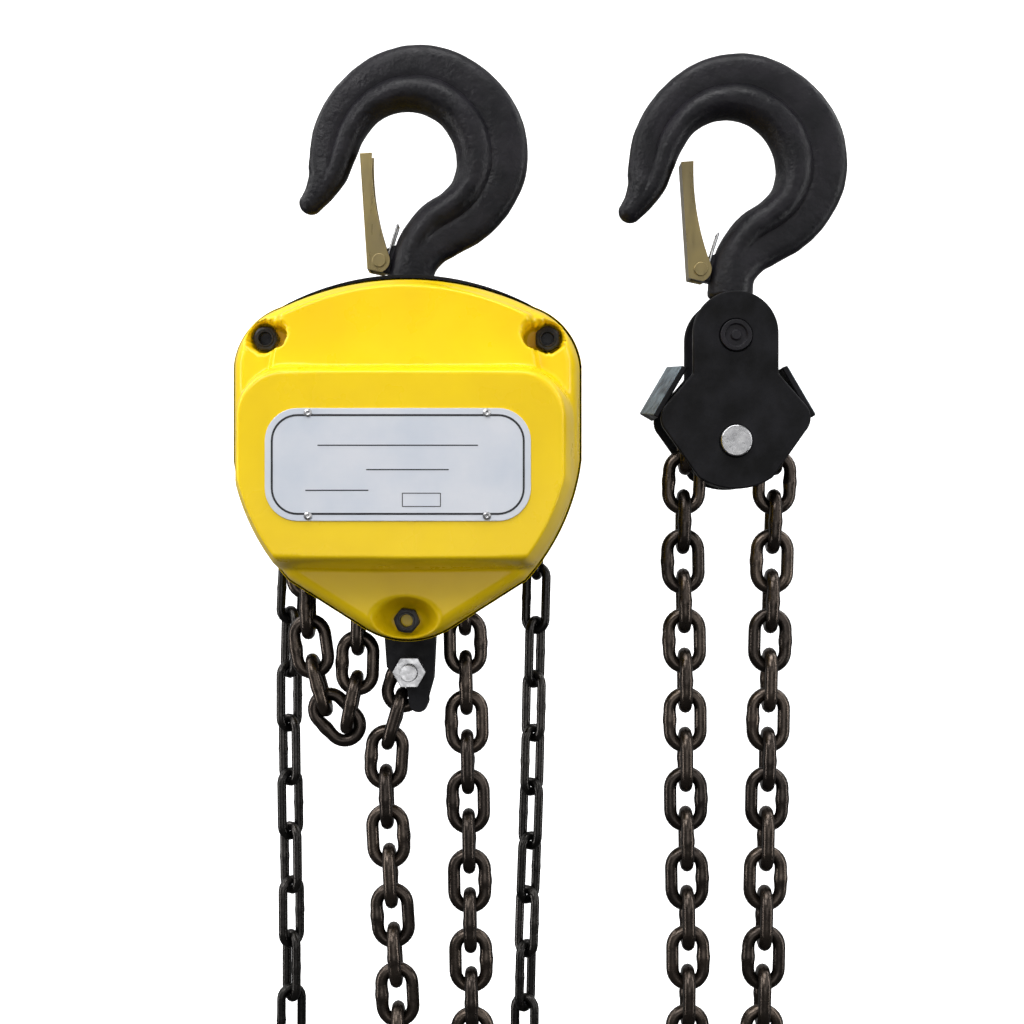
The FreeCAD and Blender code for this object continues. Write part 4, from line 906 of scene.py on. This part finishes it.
# %% A tree that makes links
def chain_tree():
    tree = bpy.data.node_groups.new("chain_of_links", "GeometryNodeTree")
    ask = tree.interface.new_socket
    ids = {}
    for label, kind in (("Points", "NodeSocketGeometry"), ("Wire", "NodeSocketFloat"),
                        ("Long", "NodeSocketFloat"), ("Wide", "NodeSocketFloat"),
                        ("Weld", "NodeSocketFloat"), ("Seed", "NodeSocketInt"),
                        ("Material", "NodeSocketMaterial")):
        ids[label] = ask(label, in_out="INPUT", socket_type=kind).identifier
    ask("Chain", in_out="OUTPUT", socket_type="NodeSocketGeometry")
    given = add_node(tree, "NodeGroupInput").outputs

    def reckon(operation, first, second=0.0):
        return add_node(tree, "ShaderNodeMath", {0: first, 1: second}, operation=operation).outputs[0]

    mid_wide = reckon("SUBTRACT", given["Wide"], given["Wire"])
    mid_long = reckon("SUBTRACT", given["Long"], given["Wire"])
    frame_line = add_node(tree, "GeometryNodeCurvePrimitiveQuadrilateral", {
        "Width": mid_wide, "Height": mid_long})
    oval = add_node(tree, "GeometryNodeFilletCurve", {
        "Curve": frame_line.outputs[0], "Count": 8,
        "Radius": reckon("MULTIPLY", mid_wide, 0.499)}, mode="POLY")
    even = add_node(tree, "GeometryNodeResampleCurve", {"Curve": oval.outputs[0], "Count": 42})
    where = add_node(tree, "ShaderNodeSeparateXYZ", {
        0: add_node(tree, "GeometryNodeInputPosition").outputs[0]}).outputs
    near = add_node(tree, "ShaderNodeMapRange", {
        "Value": reckon("ABSOLUTE", where["Y"]), "From Min": 0.0,
        "From Max": reckon("MULTIPLY", given["Wire"], 0.62), "To Min": 1.0, "To Max": 0.0},
        interpolation_type="SMOOTHSTEP").outputs[0]
    one_side = reckon("GREATER_THAN", where["X"], 0.0)
    swell = reckon("ADD", 1.0, reckon("MULTIPLY", given["Weld"], reckon("MULTIPLY", near, one_side)))
    rod = add_node(tree, "GeometryNodeSetCurveRadius", {"Curve": even.outputs[0], "Radius": swell})
    ring = add_node(tree, "GeometryNodeCurvePrimitiveCircle", {
        "Resolution": 12, "Radius": reckon("MULTIPLY", given["Wire"], 0.5)})
    sweep = add_node(tree, "GeometryNodeCurveToMesh", {
        "Curve": rod.outputs[0], "Profile Curve": ring.outputs[0]})
    if "Scale" in sweep.inputs:
        tree.links.new(swell, sweep.inputs["Scale"])
    one = add_node(tree, "GeometryNodeSetShadeSmooth", {"Geometry": sweep.outputs[0]})

    def chance(seed_shift):
        seed = reckon("ADD", given["Seed"], seed_shift)
        return add_node(tree, "FunctionNodeRandomValue", {"Seed": seed}, data_type="FLOAT").outputs[1]

    flip = reckon("MULTIPLY", reckon("GREATER_THAN", chance(0.0), 0.45), math.pi)
    over = add_node(tree, "FunctionNodeAxisAngleToRotation", {"Axis": (0, 1, 0), "Angle": flip}).outputs[0]
    stored = add_node(tree, "GeometryNodeInputNamedAttribute", {"Name": "turn"},
                      data_type="FLOAT_VECTOR").outputs[0]
    laid = add_node(tree, "FunctionNodeEulerToRotation", {"Euler": stored}).outputs[0]
    turn = add_node(tree, "FunctionNodeRotateRotation", {"Rotation": laid, "Rotate By": over},
                    rotation_space="LOCAL").outputs[0]
    points = add_node(tree, "GeometryNodeMeshToPoints", {"Mesh": given["Points"]})
    copies = add_node(tree, "GeometryNodeInstanceOnPoints", {
        "Points": points.outputs[0], "Instance": one.outputs[0], "Rotation": turn})
    toned = add_node(tree, "GeometryNodeStoreNamedAttribute", {
        "Geometry": copies.outputs[0], "Name": "tone", "Value": chance(17.0)},
        data_type="FLOAT", domain="INSTANCE")
    real = add_node(tree, "GeometryNodeRealizeInstances", {"Geometry": toned.outputs[0]})
    done = add_node(tree, "GeometryNodeSetMaterial", {
        "Geometry": real.outputs[0], "Material": given["Material"]})
    add_node(tree, "NodeGroupOutput", {"Chain": done.outputs[0]})
    return tree, ids


# %% Make every chain
CHAIN, CHAIN_IDS = chain_tree()


def make_chain(node, weld, seed, material):
    places = link_places(node)
    mesh = bpy.data.meshes.new(node)
    mesh.from_pydata([tuple(middle) for middle, _, _ in places], [], [])
    turns = mesh.attributes.new("turn", "FLOAT_VECTOR", "POINT")
    for i, (_, turn, _) in enumerate(places):
        turns.data[i].vector = turn
    long, wide, wire = np.median([size for _, _, size in places], axis=0)
    links = settled(node, CHAIN, CHAIN_IDS, mesh, {
        "Wire": float(wire), "Long": float(long), "Wide": float(wide), "Weld": weld, "Seed": seed,
        "Material": material})
    outward(links)
    links.shade_smooth()
    new_piece(f"{node}_links", links, HOME, (node,))
    sizes = [round(v / mm, 2) for v in (long, wide, wire)]
    print(node, len(places), "links of", sizes, len(links.polygons), "faces")


for seed, node in enumerate(("load_chain_on_sheave", "load_chain_on_idler", "load_chain_inner_loop",
                             "load_chain_outer_loop", "load_chain_tail")):
    make_chain(node, 0.13, 40 + seed, look["chain_steel"])
make_chain("hand_chain", 0.10, 60, look["hand_chain_steel"])

# %% [markdown]
# ## Studio
# A pale floor under the hoist, a bright even surround, and soft boxes: a broad one from the upper left for the
# enamel's sheen, a low one in front that reaches under the panel, two tall ones at the sides that draw the
# bright lines down its pressed walls, and two that whiten the backdrop.

# %% Floor, light and camera
FLOOR_GAP = 0.002               # metres under the lowest link
floor_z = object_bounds()[0].z - FLOOR_GAP
sweep_line = [(-1.2, 0.0)] + [(1.1 + 0.5 * math.sin(a), 0.5 - 0.5 * math.cos(a))
                              for a in np.linspace(0, math.pi / 2, 14)] + [(1.6, 2.6)]
floor_points = [(x, y, floor_z + z) for x in (-3.0, 3.2) for y, z in sweep_line]
count = len(sweep_line)
floor_mesh = bpy.data.meshes.new("studio_floor")
floor_mesh.from_pydata(floor_points, [], [(i, i + count, i + count + 1, i + 1) for i in range(count - 1)])
floor_mesh.shade_smooth()
paper, _, paper_shader, _ = start_finish("studio_paper")
paper_shader.inputs["Base Color"].default_value = (0.93, 0.93, 0.93, 1)
paper_shader.inputs["Roughness"].default_value = 0.9
paper_shader.inputs["Emission Color"].default_value = (1, 1, 1, 1)
paper_shader.inputs["Emission Strength"].default_value = 0.72
floor_mesh.materials.append(paper)
floor = bpy.data.objects.new("studio_floor", floor_mesh)
bpy.context.scene.collection.objects.link(floor)
floor.visible_diffuse = False
floor.visible_glossy = False

world = bpy.data.worlds.new("studio")
bpy.context.scene.world = world
world.use_nodes = True
sky = world.node_tree
toward = add_node(sky, "ShaderNodeSeparateXYZ", {0: add_node(sky, "ShaderNodeTexCoord").outputs["Generated"]})
from_above = spread(sky, toward.outputs["Z"], 0.10, 0.52, -0.5, 0.8)
sky.links.new(from_above, sky.nodes["Background"].inputs["Strength"])
sky.nodes["Background"].inputs["Color"].default_value = (1, 1, 1, 1)


def soft_box(name, place, aim, wide, high, watts):
    light = bpy.data.lights.new(name, "AREA")
    light.shape = "RECTANGLE"
    light.size, light.size_y, light.energy = wide, high, watts
    lamp = bpy.data.objects.new(name, light)
    lamp.location = place
    lamp.rotation_euler = (Vector(aim) - Vector(place)).to_track_quat("-Z", "Y").to_euler()
    bpy.context.scene.collection.objects.link(lamp)
    return lamp


AIM = (0.05, 0.0, -0.15)
soft_box("key_box", (-0.7, -1.2, 0.75), AIM, 0.9, 0.6, 11)
soft_box("fill_box", (0.9, -1.3, 0.25), AIM, 0.8, 0.9, 3)
soft_box("front_box", (0.05, -1.6, -0.35), AIM, 1.0, 0.5, 2.5)
soft_box("left_strip", (-0.75, -0.15, -0.1), AIM, 0.16, 1.1, 4)
soft_box("right_strip", (0.95, -0.2, -0.1), AIM, 0.16, 1.1, 4)
soft_box("top_box", (0.05, -0.45, 0.95), AIM, 0.9, 0.5, 9)
soft_box("backdrop_left", (-1.1, 0.5, 0.9), (0.0, 1.5, 0.1), 0.8, 0.8, 8)
soft_box("backdrop_right", (1.3, 0.5, 0.9), (0.1, 1.5, 0.1), 0.8, 0.8, 8)

eye = bpy.data.cameras.new("camera")
eye.sensor_width = 36
eye.lens = 36 * 750 / 465.4
camera = bpy.data.objects.new("camera", eye)
camera.location = (0.0459, -0.750, -0.1604)
camera.rotation_euler = (math.pi / 2, 0, 0)
bpy.context.scene.collection.objects.link(camera)
bpy.context.scene.camera = camera
bpy.context.scene.view_settings.view_transform = "Standard"
